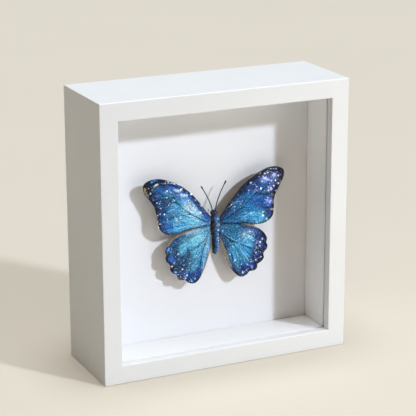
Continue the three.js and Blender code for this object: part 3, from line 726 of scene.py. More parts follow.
def paint_finish(look):
    """Satin white paint over wood: an orange peel of 2 mm and faint clouds."""
    finish = Finish("white_paint", (*look.paint_colour, 1.0), look.paint_roughness)
    place = finish.place()
    clouds = finish.noise(place, 28.0)
    tone = clouds.between(0.25, 0.75)
    finish.set("Base Color", tone.blend((*[c * 0.975 for c in look.paint_colour], 1.0),
                                        (*look.paint_colour, 1.0)))
    peel = finish.noise(place, 620.0, 2.0)
    finish.set("Roughness", look.paint_roughness - 0.06 + peel * 0.12)
    finish.bump(peel, 0.12, 0.0001)
    return finish.material


def paper_finish(name, colour, grain):
    """Matte paper: a felt of fine fibres in its height and a trace of them in its colour."""
    finish = Finish(name, (*colour, 1.0), 0.85)
    place = finish.place()
    fibres = finish.noise(place, grain, 4.0, 0.7)
    dark = (*[c * 0.965 for c in colour], 1.0)
    finish.set("Base Color", fibres.between(0.3, 0.7).blend(dark, (*colour, 1.0)))
    finish.bump(fibres, 0.1, 0.0001)
    return finish.material


def glass_finish(look):
    """A clear pane: a lone shader with a low plain alpha and a polished face."""
    clear = {"Alpha": look.glass_alpha}
    return Finish("clear_glass", (0.02, 0.025, 0.025, 1.0), 0.02, **clear).material


def board_finish():
    """Pressed fibreboard: brown, flecked with dark and pale fibres."""
    finish = Finish("fibreboard", rgba("#8A6748"), 0.75)
    place = finish.place()
    fleck = finish.noise(place, 900.0, 5.0, 0.75)
    cloud = finish.noise(place, 60.0)
    tone = (fleck * 0.7 + cloud * 0.3).between(0.35, 0.65)
    finish.set("Base Color", tone.blend(rgba("#6B4B31"), rgba("#A37F5B")))
    finish.bump(fleck, 0.35, 0.0002)
    return finish.material


def steel_finish():
    """Zinc-plated steel: spangled cells in its colour and roughness, with fine scratches."""
    finish = Finish("steel", rgba("#B7B9BA"), 0.35, 1.0)
    place = finish.place()
    spangle = finish.grey(finish.cells(place, 700.0))
    scratch = finish.noise(finish.stretch(place, (1.0, 1.0, 14.0)), 500.0)
    finish.set("Base Color", spangle.blend(rgba("#A2A5A8"), rgba("#C9CBCC")))
    finish.set("Roughness", 0.26 + spangle * 0.12 + scratch * 0.1)
    finish.bump(scratch, 0.15, 0.00005)
    return finish.material


def wing_finish():
    """Glittering scales over the tint attribute, crossed by veins, strokes, border and tan rim.

    Light and dark of the tint comes from noise drawn out along the flow attribute, curls of
    distorted noise and cells the size of scales; each line is a smooth step of its distance.
    """
    finish = Finish("wing_scales", (0.1, 0.3, 0.6, 1.0), 0.38, 0.1, **{"Specular IOR Level": 0.2})
    place = finish.place()
    flow = finish.attribute("flow", "Vector")
    streak = finish.noise(flow, 1.0, 3.0, 0.6)
    curl = finish.noise(place, 420.0, 2.0, 0.5, 2.2)
    cell = finish.grey(finish.cells(place, 1050.0))
    fine = finish.noise(place, 2600.0, 2.0)
    tone = streak.between(0.3, 0.7) * 0.4 + curl.between(0.32, 0.68) * 0.22 + cell * 0.38
    raised = tone * 2.3 - 0.13
    shade = raised.math("MAXIMUM", raised, 0.12)
    value = Wire.node(finish.tree, "ShaderNodeCombineColor", None,
                      {"Red": shade, "Green": shade * 1.14, "Blue": shade * 0.93 + 0.18})
    colour = finish.multiply(finish.attribute("tint", "Color"), value)
    curls = curl.between(0.62, 0.72) * finish.attribute("bright")
    colour = (curls * 0.6).blend(colour, rgba("#A4DEF6"))
    pale = finish.attribute("pale")
    colour = ((pale + curl * 0.5).between(0.55, 0.1) * 0.75).blend(colour, rgba("#9ADBF5"))
    border = finish.attribute("border") + (curl - 0.5) * 2.4 + (cell - 0.5) * 0.8
    colour = (border.between(0.5, -0.5) * 0.94).blend(colour, rgba("#10131F"))
    vein = finish.attribute("vein") + (fine - 0.5) * 0.25
    colour = (vein.between(0.22, -0.12) * 0.9).blend(colour, rgba("#0C1B33"))
    tan = finish.attribute("tan") + (curl - 0.5) * 0.6
    colour = (tan.between(0.15, -0.15) * 0.85).blend(colour, rgba("#94866A"))
    finish.set("Base Color", colour)
    finish.set("Roughness", 0.36 + fine * 0.3)
    finish.bump(cell * 0.5 + fine * 0.5, 0.3, 0.0001)
    return finish.material


def underside_finish():
    """Brown underside scales with darker clouds, which face the mount board."""
    finish = Finish("wing_underside", rgba("#4A3B2C"), 0.7)
    clouds = finish.noise(finish.place(), 260.0, 3.0, 0.6, 0.6)
    finish.set("Base Color", clouds.between(0.35, 0.65).blend(rgba("#2F241B"), rgba("#6B5942")))
    return finish.material


def grain_finish(look):
    """Glitter: each grain's own tint, half metal, polished."""
    finish = Finish("glitter", (0.5, 0.7, 0.9, 1.0), look.grain_roughness, 0.3)
    finish.set("Base Color", finish.attribute("tint", "Color"))
    return finish.material


def body_finish():
    """Scales of the body: the tint attribute, mottled by fine noise, with a soft sheen."""
    finish = Finish("body_scales", (0.05, 0.1, 0.2, 1.0), 0.38, 0.1)
    place = finish.place()
    fine = finish.noise(place, 1900.0, 3.0)
    shade = fine.between(0.3, 0.7)
    tint = finish.attribute("tint", "Color")
    dark = finish.multiply(tint, (0.35, 0.35, 0.4, 1.0))
    light = finish.multiply(tint, (1.5, 1.45, 1.35, 1.0))
    finish.set("Base Color", shade.blend(dark, light))
    finish.set("Roughness", 0.28 + fine * 0.25)
    finish.bump(fine, 0.5, 0.00015)
    return finish.material


def antenna_finish():
    """Black chitin with a trace of brown in clouds."""
    finish = Finish("antenna_chitin", rgba("#15141A"), 0.42)
    clouds = finish.noise(finish.place(), 900.0)
    finish.set("Base Color", clouds.between(0.4, 0.6).blend(rgba("#0E0E12"), rgba("#26222A")))
    return finish.material


def pin_finish():
    """Polished steel with faint drawing marks along the shaft."""
    finish = Finish("pin_steel", rgba("#C6CBD2"), 0.2, 1.0)
    marks = finish.noise(finish.stretch(finish.place(), (1.0, 0.05, 1.0)), 4000.0)
    finish.set("Roughness", 0.14 + marks * 0.14)
    return finish.material


def floor_finish(look):
    """Plain pale floor, matte."""
    finish = Finish("studio_floor", (*look.floor_colour, 1.0), 0.8)
    clouds = finish.noise(finish.place(), 4.0)
    low = (*[c * 0.99 for c in look.floor_colour], 1.0)
    finish.set("Base Color", clouds.between(0.3, 0.7).blend(low, (*look.floor_colour, 1.0)))
    return finish.material


def forewing_height(a, b):
    """Root + rise sin(pi/2 a/46), less the tip's droop by its share of the 23 mm past a reach
    of 46, with both shares held to 1."""
    past = np.clip((np.hypot(a, b) - FOREWING_REACH) / DROOP_REACH, 0, 1)
    share = np.clip(a / FOREWING_REACH, 0, 1)
    return FOREWING_ROOT + FOREWING_RISE * np.sin(np.pi / 2 * share) - TIP_DROOP * past


def hindwing_height(a, b):
    """Root + rise (reach / 45)^1.2."""
    return HINDWING_ROOT + HINDWING_RISE * (np.hypot(a, b) / HINDWING_REACH) ** 1.2


WINGS = {
    "forewing_left": (FOREWING, FOREWING_VEINS, forewing_height, -1),
    "forewing_right": (FOREWING, FOREWING_VEINS, forewing_height, 1),
    "hindwing_left": (HINDWING, HINDWING_VEINS, hindwing_height, -1),
    "hindwing_right": (HINDWING, HINDWING_VEINS, hindwing_height, 1),
}
# How much wider the dark border is than the outline's third value, then each wing's ground
# colours at its margin and inside it, and the band behind a forewing's leading edge, which runs
# along the outline's first LEAD_POINTS
EXTRA_BORDER = {"forewing_right": 0.6, "hindwing_right": 0.25}
LEAD_POINTS = 8
# Painted light in part: the left wings' lead band and ground are lighter and the right wings'
# darker, as the left wings face the sun and show more of the blue sheen; the rest is the wings' own
# markings
SIDE_LIT_LEAD_COLOURS = {"forewing_left": "#1D4A94", "forewing_right": "#0E1A38"}
SIDE_LIT_GROUNDS = {
    "forewing_left": ("#144480", "#60BCE6"),
    "forewing_right": ("#14264F", "#1C7AB8"),
    "hindwing_left": ("#12447C", "#62C2EA"),
    "hindwing_right": ("#16295E", "#2F8DC0"),
}


def wing_tint(name, places, margin):
    """The wing's soft colours: the ground goes from its margin colour to its inner one over
    2 to 13 mm from the margin, then each patch is laid on by strength e^-((u^2 + v^2)^1.3), and
    a forewing has a darker band behind its leading edge."""
    # Partly painted light: the left wings' ground is lighter and the right wings' darker
    outer, inner = (linear(code) for code in SIDE_LIT_GROUNDS[name])
    tint = outer + smooth_step(2, 13, margin)[:, None] * (inner - outer)
    for a, b, long, broad, turn, code, strength in PATCHES[name]:
        away = places - (a, b)
        cos, sin = math.cos(math.radians(turn)), math.sin(math.radians(turn))
        u = (away[:, 0] * cos + away[:, 1] * sin) / long
        v = (away[:, 1] * cos - away[:, 0] * sin) / broad
        share = strength * np.exp(-(u * u + v * v) ** 1.3)
        tint += share[:, None] * (linear(code) - tint)
    if name.startswith("forewing"):
        lead = distance_to_margin(places, even_curve(FOREWING[:LEAD_POINTS, :2], 80))
        band = smooth_step(4.6, 3.4, lead) * smooth_step(0.2, 1.2, lead)
        tint += 0.8 * band[:, None] * (linear(SIDE_LIT_LEAD_COLOURS[name]) - tint)
    return np.clip(tint, 0, 1)


def wing_piece(name, look, material, underside):
    """A wing: rings run from its root line out to its outline, even along the outline and
    closer together towards it. Its middle surface stands off the board by its height function,
    pleated between the veins; each vein is a ridge h e^-(d/0.4)^2, with d counted from 0.2 mm
    inside the vein's edge, and the blade thins towards its rim as the root of the distance."""
    outline, veins, height_of, side = WINGS[name]
    slices, rings = look.wing_slices, look.wing_rings
    edge = even_curve(outline, slices + 1)
    root = np.linspace(edge[0, :2], edge[-1, :2], slices + 1)
    share = 1 - (1 - np.linspace(0, 1, rings + 1)) ** 1.25
    rear_share = np.linspace(1, 0, UNDERSIDE_RINGS + 1)
    front = root[:, None] + share[None, :, None] * (edge[:, None, :2] - root[:, None])
    rear = root[:, None] + rear_share[None, :, None] * (edge[:, None, :2] - root[:, None])
    places = np.concatenate([front, rear], axis=1)
    columns = places.shape[1]
    flat = places.reshape(-1, 2)
    vein = distance_to_strokes(flat, veins)
    border = distance_to_lines(flat, [edge])
    margin = distance_to_margin(flat, edge)
    shift = np.array(look.flow_root if "fore" in name else look.flow_root_hind)
    reach = np.hypot(*(flat - shift).T)
    angle = np.arctan2(*(flat - shift).T[::-1])
    inner = smooth_step(0, 5, margin)
    pleat = PLEAT_HEIGHT * np.sin(angle * 34) * smooth_step(6, 26, reach)
    ripple = RIPPLE_HEIGHT * np.sin(reach * 0.42 + angle * 9) * smooth_step(12, 40, reach)
    ridge = RIDGE_HEIGHT * np.exp(-(np.maximum(vein + 0.2, 0) / RIDGE_SPREAD) ** 2) * inner
    thinning = np.sqrt(np.clip(margin / BLADE_THINNING, 0, 1))
    thick = BLADE_RIM + (BLADE_THICKNESS - BLADE_RIM) * thinning
    is_front = np.zeros(places.shape[:2], bool)
    is_front[:, :rings + 1] = True
    is_front = is_front.ravel()
    rise = height_of(*flat.T) + (pleat + ripple) * smooth_step(0, 4, reach)
    rise = rise + np.where(is_front, thick / 2 + ridge, -thick / 2)
    points = on_board(side * flat[:, 0] + SPECIMEN_LEAN * flat[:, 1], flat[:, 1], rise)
    tint = wing_tint(name, flat, margin)
    luminance = tint @ (0.2, 0.7, 0.1)
    attributes = {
        "tint": np.c_[tint, np.ones(len(tint))],
        "vein": vein,
        "border": border - EXTRA_BORDER.get(name, 0),
        "tan": distance_to_strokes(flat, TAN_LINES[name]),
        "pale": distance_to_strokes(flat, PALE_LINES[name]),
        "bright": smooth_step(0.12, 0.34, luminance),
        "flow": np.stack([angle * 20, reach * 0.11, np.full(len(reach), 3.7 * side)], axis=1),
    }
    faces = facing_out(points, [grid_faces(slices + 1, columns)])
    piece = closed_mesh(name + "_blade", points, faces, material, attributes, weld=True)
    piece.data.materials.append(underside)
    normals = np.zeros(len(piece.data.polygons) * 3, np.float32)
    piece.data.polygons.foreach_get("normal", normals)
    behind = (normals[1::3] > 0.2).astype(np.int32)
    piece.data.polygons.foreach_set("material_index", behind)
    return piece


def grains(centres, radii, tints, rng, tilt, rim):
    """Flat double pyramids: rim points at c + r (cos t u + sin t w) and poles at c +- 0.3 r n,
    where n is the way to the viewer tilted at random and u, w span its plane."""
    count = len(centres)
    normal = np.stack([rng.normal(0, tilt, count), -np.ones(count), rng.normal(0, tilt, count)], 1)
    normal /= np.linalg.norm(normal, axis=1)[:, None]
    u = np.cross(normal, (0.0, 0.0, 1.0))
    u /= np.linalg.norm(u, axis=1)[:, None]
    w = np.cross(normal, u)
    turn = rng.uniform(0, 2 * np.pi, count)[:, None] + np.linspace(0, 2 * np.pi, rim, False)
    radii = radii[:, None, None]
    ring = np.cos(turn)[..., None] * u[:, None] + np.sin(turn)[..., None] * w[:, None]
    poles = np.stack([normal, -normal], axis=1) * GRAIN_THICKNESS
    shape = centres[:, None] + radii * np.concatenate([ring, poles], axis=1)
    column = np.arange(rim)
    after = (column + 1) % rim
    top = np.stack([np.full(rim, rim), column, after], axis=1)
    low = np.stack([np.full(rim, rim + 1), after, column], axis=1)
    one = np.concatenate([top, low])
    faces = (one[None] + (np.arange(count) * (rim + 2))[:, None, None]).reshape(-1, 3)
    return shape.reshape(-1, 3), [faces], np.repeat(tints, rim + 2, axis=0)


def grain_places(name, edge, count, rng):
    """Places for small grains inside a wing's outline, the distance of each from the margin,
    and whether it is one of those that gather round the large grains."""
    low, high = edge[:, :2].min(0), edge[:, :2].max(0)
    spots = np.array(SPARKLES[name])
    spread = rng.uniform(low, high, (count * 2, 2))
    cluster = spots[rng.integers(0, len(spots), count // 5), :2]
    cluster = cluster + rng.normal(0, CLUSTER_SCATTER, cluster.shape)
    places = np.vstack([spread, cluster])
    margin = distance_to_margin(places, edge)
    keep = inside_outline(places, edge[:, :2]) & (margin > GRAIN_MARGIN)
    near = np.arange(len(places)) >= len(spread)
    return places[keep], margin[keep], near[keep]


def wing_glitter(name, look, material, rng):
    """Glitter on a wing: small grains spread at random with the wing's own tint made lighter or
    darker, then the large pale ones, painted highlights of the sun, and the flecks of their own
    colour at their places. Small grains gather round the large ones, and more of them are
    painted glints there."""
    outline, _, height_of, side = WINGS[name]
    edge = even_curve(outline, 220)
    places, margin, near = grain_places(name, edge, look.grain_count, rng)
    tint = wing_tint(name, places, margin)
    border = distance_to_lines(places, [edge])
    dark = smooth_step(0.6, -0.4, border)[:, None]
    tint = tint * (1 - dark) + dark * linear(DARK_GRAINS)
    count = len(places)
    gain = np.exp(rng.normal(GAIN_MEAN, GAIN_SPREAD, count))[:, None]
    tint = tint * gain * GRAIN_SHIFT
    tan = smooth_step(0.15, -0.15, distance_to_strokes(places, TAN_LINES[name]))
    tint += 0.85 * tan[:, None] * (linear(TAN_GRAINS) - tint)
    pick = rng.random(count)
    # Painted highlights: some small grains take the pale glint colours
    glint = (pick < GLINT_SHARE) | (near & (pick < NEAR_GLINT_SHARE))
    glints = np.array([linear(code) for code in PAINTED_GLINTS[name]])
    glow = rng.choice(len(glints), count)
    tint[glint] = glints[glow[glint]]
    tint = np.clip(tint, 0, 0.95)
    radii = rng.uniform(*GRAIN_RADII, count) * look.grain_size
    radii[glint] = rng.uniform(*GLINT_RADII, glint.sum())
    standoff = height_of(*places.T) + GRAIN_STANDOFF
    across = side * places[:, 0] + SPECIMEN_LEAN * places[:, 1]
    small = grains(on_board(across, places[:, 1], standoff), radii * MM,
                   np.c_[tint, np.ones(count)], rng, GRAIN_TILT, GRAIN_CORNERS)
    spots, flecks = SPARKLES[name], FLECKS[name]
    a, b, radius = np.array(spots).T
    a, b = np.r_[a, [f[0] for f in flecks]], np.r_[b, [f[1] for f in flecks]]
    radius = np.r_[radius, [f[2] for f in flecks]] * look.sparkle_size
    standoff = height_of(a, b) + SPARKLE_STANDOFF
    # Painted highlights: the large grains take the palest glint colours
    tones = np.vstack([glints[rng.choice(PALEST, len(spots))],
                       [linear(f[3]) for f in flecks]])
    large = grains(on_board(side * a + SPECIMEN_LEAN * b, b, standoff), radius * MM,
                   np.c_[tones, np.ones(len(tones))], rng, SPARKLE_TILT, SPARKLE_CORNERS)
    points, faces, values = join_parts([small, large])
    return closed_mesh(name + "_glitter", points, faces, material, {"tint": values}, smooth=False)


def body_radius(down):
    """The body's radius at a depth below the head: r (1 - pinch |p|^2.4) in each segment, with
    p from -1 to 1 through it, and r sqrt(1 - p^2) in the round halves at either end."""
    number = np.searchsorted(SEGMENT_ENDS, down, side="right") - 1
    number = np.clip(number, 0, len(BODY_SEGMENTS) - 1)
    length, radius, pinch = np.array(BODY_SEGMENTS).T[:, number]
    p = np.clip(2 * (down - SEGMENT_ENDS[number]) / length - 1, -1, 1)
    is_end = ((number == 0) & (p < 0)) | ((number == len(BODY_SEGMENTS) - 1) & (p > 0))
    swell = np.where(is_end, np.sqrt(np.maximum(1 - p * p, 0)), 1 - pinch * np.abs(p) ** 2.4)
    return radius * swell


def body_axis(down):
    """Place across and standoff of the body's axis at a depth below the head."""
    axis = even_curve(BODY_AXIS, 200)
    share = np.linspace(0, 1, len(axis)) * BODY_LENGTH
    return np.interp(down, share, axis[:, 0]), np.interp(down, share, axis[:, 2])


def trunk():
    """The body's own surface: its profile carried along its bent axis, in rows that crowd at
    both ends, with scales as a ripple h sin(9 d) sin(18 q + 5 d) of depth d and turn q.

    Its tint goes from black on the left over dusk to blue on the right, which is painted
    shade: dark away from the sun and blue on the lit side. The blue has lighter rings at the
    joints, and the head is black with one blue spot of painted light on its lit side."""
    rows, sides = BODY_ROWS, BODY_SIDES
    down = (1 - np.cos(np.linspace(0.03, np.pi - 0.03, rows))) / 2 * BODY_LENGTH
    turn = np.linspace(0, 2 * np.pi, sides, endpoint=False)
    radius = body_radius(down)
    scales = SCALE_HEIGHT * np.sin(down * 9)[:, None] * np.sin(turn * 18 + down[:, None] * 5)
    ring = radius[:, None] * (1 + scales / np.maximum(radius[:, None], 0.5))
    centre, standoff = body_axis(down)
    across = centre[:, None] + ring * np.cos(turn)
    forward = standoff[:, None] + ring * np.sin(turn) * BODY_FLATNESS
    along = np.broadcast_to((BODY_TOP - down)[:, None], across.shape)
    points = on_board(across.ravel(), along.ravel(), forward.ravel())
    tips = np.array([BODY_TOP, BODY_TOP - BODY_LENGTH])
    ends = on_board(centre[[0, -1]], tips, standoff[[0, -1]])
    # Painted shade: the tint runs from blue on the lit right side to black on the left, away from
    # the sun
    side = np.cos(turn)[None] + 0.09 * np.sin(down * 5.3)[:, None]
    dusk = smooth_step(-0.9, -0.5, side)[..., None]
    blue = smooth_step(-0.5, 0.05, side)[..., None]
    ring_share = np.abs(np.sin(down * np.pi / 2.25))[:, None, None]
    tint = linear(BODY_PAINTED_SHADE) + dusk * (linear(BODY_PAINTED_HALF_SHADE) - linear(BODY_PAINTED_SHADE))
    tint = tint + blue * (linear(BODY_BLUE) + ring_share * 0.3 * linear(BODY_RINGS) - tint)
    # Painted light: a blue spot on the head's lit side
    head = smooth_step(4.6, 3.2, down)[:, None, None]
    spot = ((down[:, None] - HEAD_DOWN) / 1.1) ** 2 + ((turn[None] - 0.7) / 0.5) ** 2
    spot = np.exp(-spot)[..., None]
    tint = tint + head * (linear(HEAD_BLACK) - tint)
    tint = tint + 0.9 * spot * (linear(HEAD_LIT_SPOT) - tint)
    tint = np.vstack([tint.reshape(-1, 3), linear(HEAD_BLACK), linear(TAIL_BLUE)])
    return np.vstack([points, ends]), [grid_faces(rows, sides), *end_fans(rows, sides)], tint


def side_parts(side):
    """What one side of the body carries, all black: an eye as a sphere, a palp and three legs as
    tubes whose radius tapers in a straight line."""
    a, h = (value[0] for value in body_axis(np.array([HEAD_DOWN])))
    middle = on_board(a + side * EYE_SPREAD, BODY_TOP - EYE_DROP, h + EYE_FORWARD)
    shapes = [ball(middle, EYE_RADIUS * MM, 22, 32)]
    palp = even_curve([(a + side * out, BODY_TOP + up, h + rise) for out, up, rise in PALP_ROUTE],
                      PALP_STEPS)
    taper = np.linspace(*PALP_RADII, PALP_STEPS) * MM
    shapes.append(tube(on_board(*palp.T), taper, 12))
    for route in LEG_ROUTES:
        path = even_curve([(side * out, up, rise) for out, up, rise in route], LEG_STEPS)
        taper = np.linspace(1.15, 0.6, LEG_STEPS) * LEG_RADIUS * MM
        shapes.append(tube(on_board(*path.T), taper, 10))
    black = linear(EYE_BLACK)
    return [(points, faces, np.tile(black, (len(points), 1))) for points, faces in shapes]


def body_piece(material):
    """The trunk with the eyes, palps and legs of both sides, as one mesh."""
    points, faces, values = join_parts([trunk(), *side_parts(-1), *side_parts(1)])
    values = np.c_[values, np.ones(len(values))]
    return closed_mesh("body_scaled", points, faces, material, {"tint": values})


def body_glitter(material, rng):
    """Glints on the body: a column of white beads down its lit side, one to a segment and smaller
    towards the tail, which are painted highlights where the sun catches each segment, and finer
    grains strewn over the blue, lit half."""
    middles = ((SEGMENT_ENDS[:-1] + SEGMENT_ENDS[1:]) / 2)[1:]
    beads = len(middles)
    fine = BODY_GRAINS
    down = np.r_[middles, rng.uniform(2.5, BODY_LENGTH - 1.5, fine)]
    turn = np.r_[1.2 + 0.1 * np.sin(middles), rng.uniform(-0.3, 1.95, fine)]
    size = np.r_[np.where(middles < 16, 0.8, 0.58), rng.uniform(0.14, 0.32, fine)]
    centre, standoff = body_axis(down)
    radius = body_radius(down) + BODY_GRAIN_STANDOFF
    centres = on_board(centre + radius * np.cos(turn), BODY_TOP - down,
                       standoff + radius * np.sin(turn) * BODY_FLATNESS)
    palette = np.array([linear(code) for code in BODY_GLINTS])
    # Painted highlights: the beads are white, on the lit side only
    tones = np.vstack([np.tile(linear(BODY_GLINT_WHITE), (beads, 1)),
                       palette[rng.integers(0, len(palette), fine)]])
    points, faces, values = grains(centres, size * MM, np.c_[tones, np.ones(len(tones))], rng,
                                   0.35, 6)
    faces = facing_out(points, faces)
    return closed_mesh("body_glitter", points, faces, material, {"tint": values}, smooth=False)


def antenna_piece(name, material):
    """An antenna: a ringed tube, swollen to a club at its tip. The radius is r (1 + 0.06 cos)
    along the rings and grows to the club's by a smooth bell over the last 3 mm."""
    path = even_curve(ANTENNA_ROUTES[name], 150)
    tip = path[-1] + (path[-1] - path[-2]) / np.linalg.norm(path[-1] - path[-2]) * CLUB_LENGTH
    path = np.vstack([path, np.linspace(path[-1], tip, 16)[1:]])
    reach = np.r_[0, np.cumsum(np.linalg.norm(np.diff(path, axis=0), axis=1))]
    left = reach[-1] - reach
    thin = ANTENNA_RADIUS * (1.12 + 0.06 * np.cos(reach * 9))
    club = (ANTENNA_CLUB - ANTENNA_RADIUS) * np.exp(-((left - CLUB_LENGTH) / 1.15) ** 2)
    radius = (thin + club) * np.sqrt(np.clip(left / 0.7, 0.001, 1))
    points, faces = tube(on_board(*path.T), radius * MM, 14)
    return closed_mesh(name + "_ringed", points, facing_out(points, faces), material)


def pin_piece(material):
    """The pin: a profile turned about a line square to the board, a shaft with a point in the
    board and a round head. The head's radius is sqrt(R^2 - s^2) at s from its middle."""
    shaft = np.array([(-PIN_BITE, 0.02), (-PIN_BITE + PIN_POINT, PIN_RADIUS), (0, PIN_RADIUS),
                      (PIN_STANDOFF - PIN_HEAD, PIN_RADIUS)])
    turn = np.linspace(-0.86, 0.999, 16) * np.pi / 2
    head = np.stack([PIN_STANDOFF + PIN_HEAD * np.sin(turn), PIN_HEAD * np.cos(turn)], axis=1)
    profile = np.vstack([shaft, head])
    a, b = PIN_PLACE
    path = on_board(np.full(len(profile), a), np.full(len(profile), b), profile[:, 0])
    points, faces = tube_along_y(path, profile[:, 1] * MM, 24)
    return closed_mesh("pin_polished", points, facing_out(points, faces), material)


def tube_along_y(centres, radii, sides):
    """Rings (r cos t, 0, r sin t) round each centre, for a straight part square to the board."""
    turn = np.linspace(0, 2 * np.pi, sides, endpoint=False)
    ring = np.stack([np.cos(turn), np.zeros(sides), np.sin(turn)], axis=1)
    points = (centres[:, None] + radii[:, None, None] * ring[None]).reshape(-1, 3)
    points = np.vstack([points, centres[0], centres[-1]])
    return points, [grid_faces(len(centres), sides), *end_fans(len(centres), sides)]


def rail_section(seat, pocket):
    """Corners of a moulding's section, across from the outer edge and back from the front face.

    Long edges are quarter circles of EDGE_ROUND in eight steps. seat and pocket are how far the
    back edge lies below the frame's back, past SEAT_SKIN and POCKET_SKIN from the outside; the
    number of corners is the same for all, so sections join corner to corner.
    """
    turn = np.radians(np.linspace(0, 90, 9))
    sin, cos = EDGE_ROUND * np.sin(turn), EDGE_ROUND * np.cos(turn)
    back, r = FRAME_DEPTH, EDGE_ROUND
    steps = [(WALL_THICKNESS, min(back - depth, back - pocket))
             for depth in (POCKET_DEPTH, SEAT_DEPTH, 0)]
    return np.vstack([
        np.stack([FACE_WIDTH - r + sin, r - cos], axis=1),
        [(FACE_WIDTH, LIP_DEPTH), (WALL_THICKNESS, LIP_DEPTH), *steps],
        [(POCKET_SKIN, back - pocket), (POCKET_SKIN, back - seat)],
        [(SEAT_SKIN, back - seat), (SEAT_SKIN, back)],
        np.stack([r - sin, back - r + cos], axis=1),
        np.stack([r - cos, r - sin], axis=1),
    ])


def rail_piece(name, material):
    """A moulding: its section carried straight along its side of the frame, the ends on the
    planes across = half length - reach of the mitres; the top one has the hanger's seat."""
    upright = name in ("frame_left", "frame_right")
    half = (FRAME_HEIGHT if upright else FRAME_WIDTH) / 2
    plain = rail_section(0, 0)
    end = half - plain[:, 0] - MITRE_SLIT
    rings = [(-end, plain), (end, plain)]
    if name == "frame_top":
        seat = rail_section(SEAT_DEPTH, SEAT_DEPTH)
        pocket = rail_section(SEAT_DEPTH, POCKET_DEPTH)
        rings[1:1] = [(-SEAT_HALF, plain), (-SEAT_HALF, seat), (-POCKET_HALF, seat),
                      (-POCKET_HALF, pocket), (POCKET_HALF, pocket), (POCKET_HALF, seat),
                      (SEAT_HALF, seat), (SEAT_HALF, plain)]
    reach = np.concatenate([np.broadcast_to(place, len(plain)) for place, _ in rings])
    across, depth = np.concatenate([section for _, section in rings]).T
    middle = FRAME_HEIGHT / 2
    x, z = {
        "frame_bottom": (reach, across),
        "frame_top": (reach, FRAME_HEIGHT - across),
        "frame_left": (across - FRAME_WIDTH / 2, middle + reach),
        "frame_right": (FRAME_WIDTH / 2 - across, middle + reach),
    }[name]
    points = np.stack([x, depth - FRAME_DEPTH / 2, z], axis=1) * MM
    corners = np.arange(len(plain))[None]
    caps = [corners[:, ::-1], corners + len(points) - len(plain)]
    faces = facing_out(points, [grid_faces(len(rings), len(plain)), *caps])
    return closed_mesh(name + "_painted", points, faces, material, weld=True, smooth=False)


def spacer_piece(name, material):
    """A spacer strip: the box of its place with SPACER_CHAMFER cut off its two inner edges.

    The section goes across from the frame's wall inwards and back from the glass, and is carried
    straight from one end of the strip to the other."""
    low, high = (np.array(corner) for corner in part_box(name))
    upright = name in ("spacer_left", "spacer_right")
    wall, start = (0, 2) if upright else (2, 0)
    inwards = 1 if name in ("spacer_left", "spacer_bottom") else -1
    outer, inner = (low, high)[::inwards]
    cut = SPACER_CHAMFER * MM
    section = np.array([
        (outer[wall], low[1]), (inner[wall] - inwards * cut, low[1]), (inner[wall], low[1] + cut),
        (inner[wall], high[1] - cut), (inner[wall] - inwards * cut, high[1]), (outer[wall], high[1]),
    ])
    points = np.zeros((2 * len(section), 3))
    points[:, wall] = np.tile(section[:, 0], 2)
    points[:, 1] = np.tile(section[:, 1], 2)
    points[:, start] = np.repeat((low[start], high[start]), len(section))
    corners = np.arange(len(section))[None]
    faces = facing_out(points, [grid_faces(2, len(section)), corners[:, ::-1],
                                corners + len(section)])
    return closed_mesh(name + "_lined", points, faces, material, smooth=False)


def dress(names, material):
    """Gives CAD nodes a finish."""
    for name in names:
        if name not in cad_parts:
            raise RuntimeError(f"the packed frame has no node {name}")
        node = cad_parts[name]
        node.data.materials.clear()
        node.data.materials.append(material)


def attach(piece, slot, *nodes):
    """A new piece rides on the one body and stands for nodes, if any. Its slot is not used."""
    if not piece.data.polygons:
        raise RuntimeError(f"{piece.name} has no faces")
    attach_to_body(piece, "root")
    if nodes:
        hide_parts(*nodes)


def lamp(scene, name, kind, energy, colour, travel, **settings):
    """A light that shines the way travel points, with the settings of its kind."""
    light = bpy.data.lights.new(name, kind)
    light.energy = energy
    light.color = colour
    for key, value in settings.items():
        setattr(light, key, value)
    made = bpy.data.objects.new(name, light)
    made.rotation_euler = Vector(travel).to_track_quat("-Z", "Y").to_euler()
    scene.collection.objects.link(made)
    return made


class FrameLook(bpy.types.PropertyGroup):
    """Colours and gloss of the frame and of what it holds."""

    paint_colour: bpy.props.FloatVectorProperty(
        name="Paint", description="Colour of the painted mouldings", subtype="COLOR",
        size=3, min=0, max=1, default=(0.74, 0.74, 0.735))
    paint_roughness: bpy.props.FloatProperty(
        name="Paint roughness", description="0 is a mirror and 1 is chalk", subtype="FACTOR",
        min=0, max=1, default=0.42)
    paper_colour: bpy.props.FloatVectorProperty(
        name="Paper", description="Colour of the mount board's paper", subtype="COLOR",
        size=3, min=0, max=1, default=(0.87, 0.87, 0.895))
    liner_colour: bpy.props.FloatVectorProperty(
        name="Liner", description="Colour of the spacer strips' paper", subtype="COLOR",
        size=3, min=0, max=1, default=(0.92, 0.92, 0.915))
    glass_alpha: bpy.props.FloatProperty(
        name="Glass alpha", description="How much of the pane shows", subtype="FACTOR",
        min=0, max=1, default=0.03)


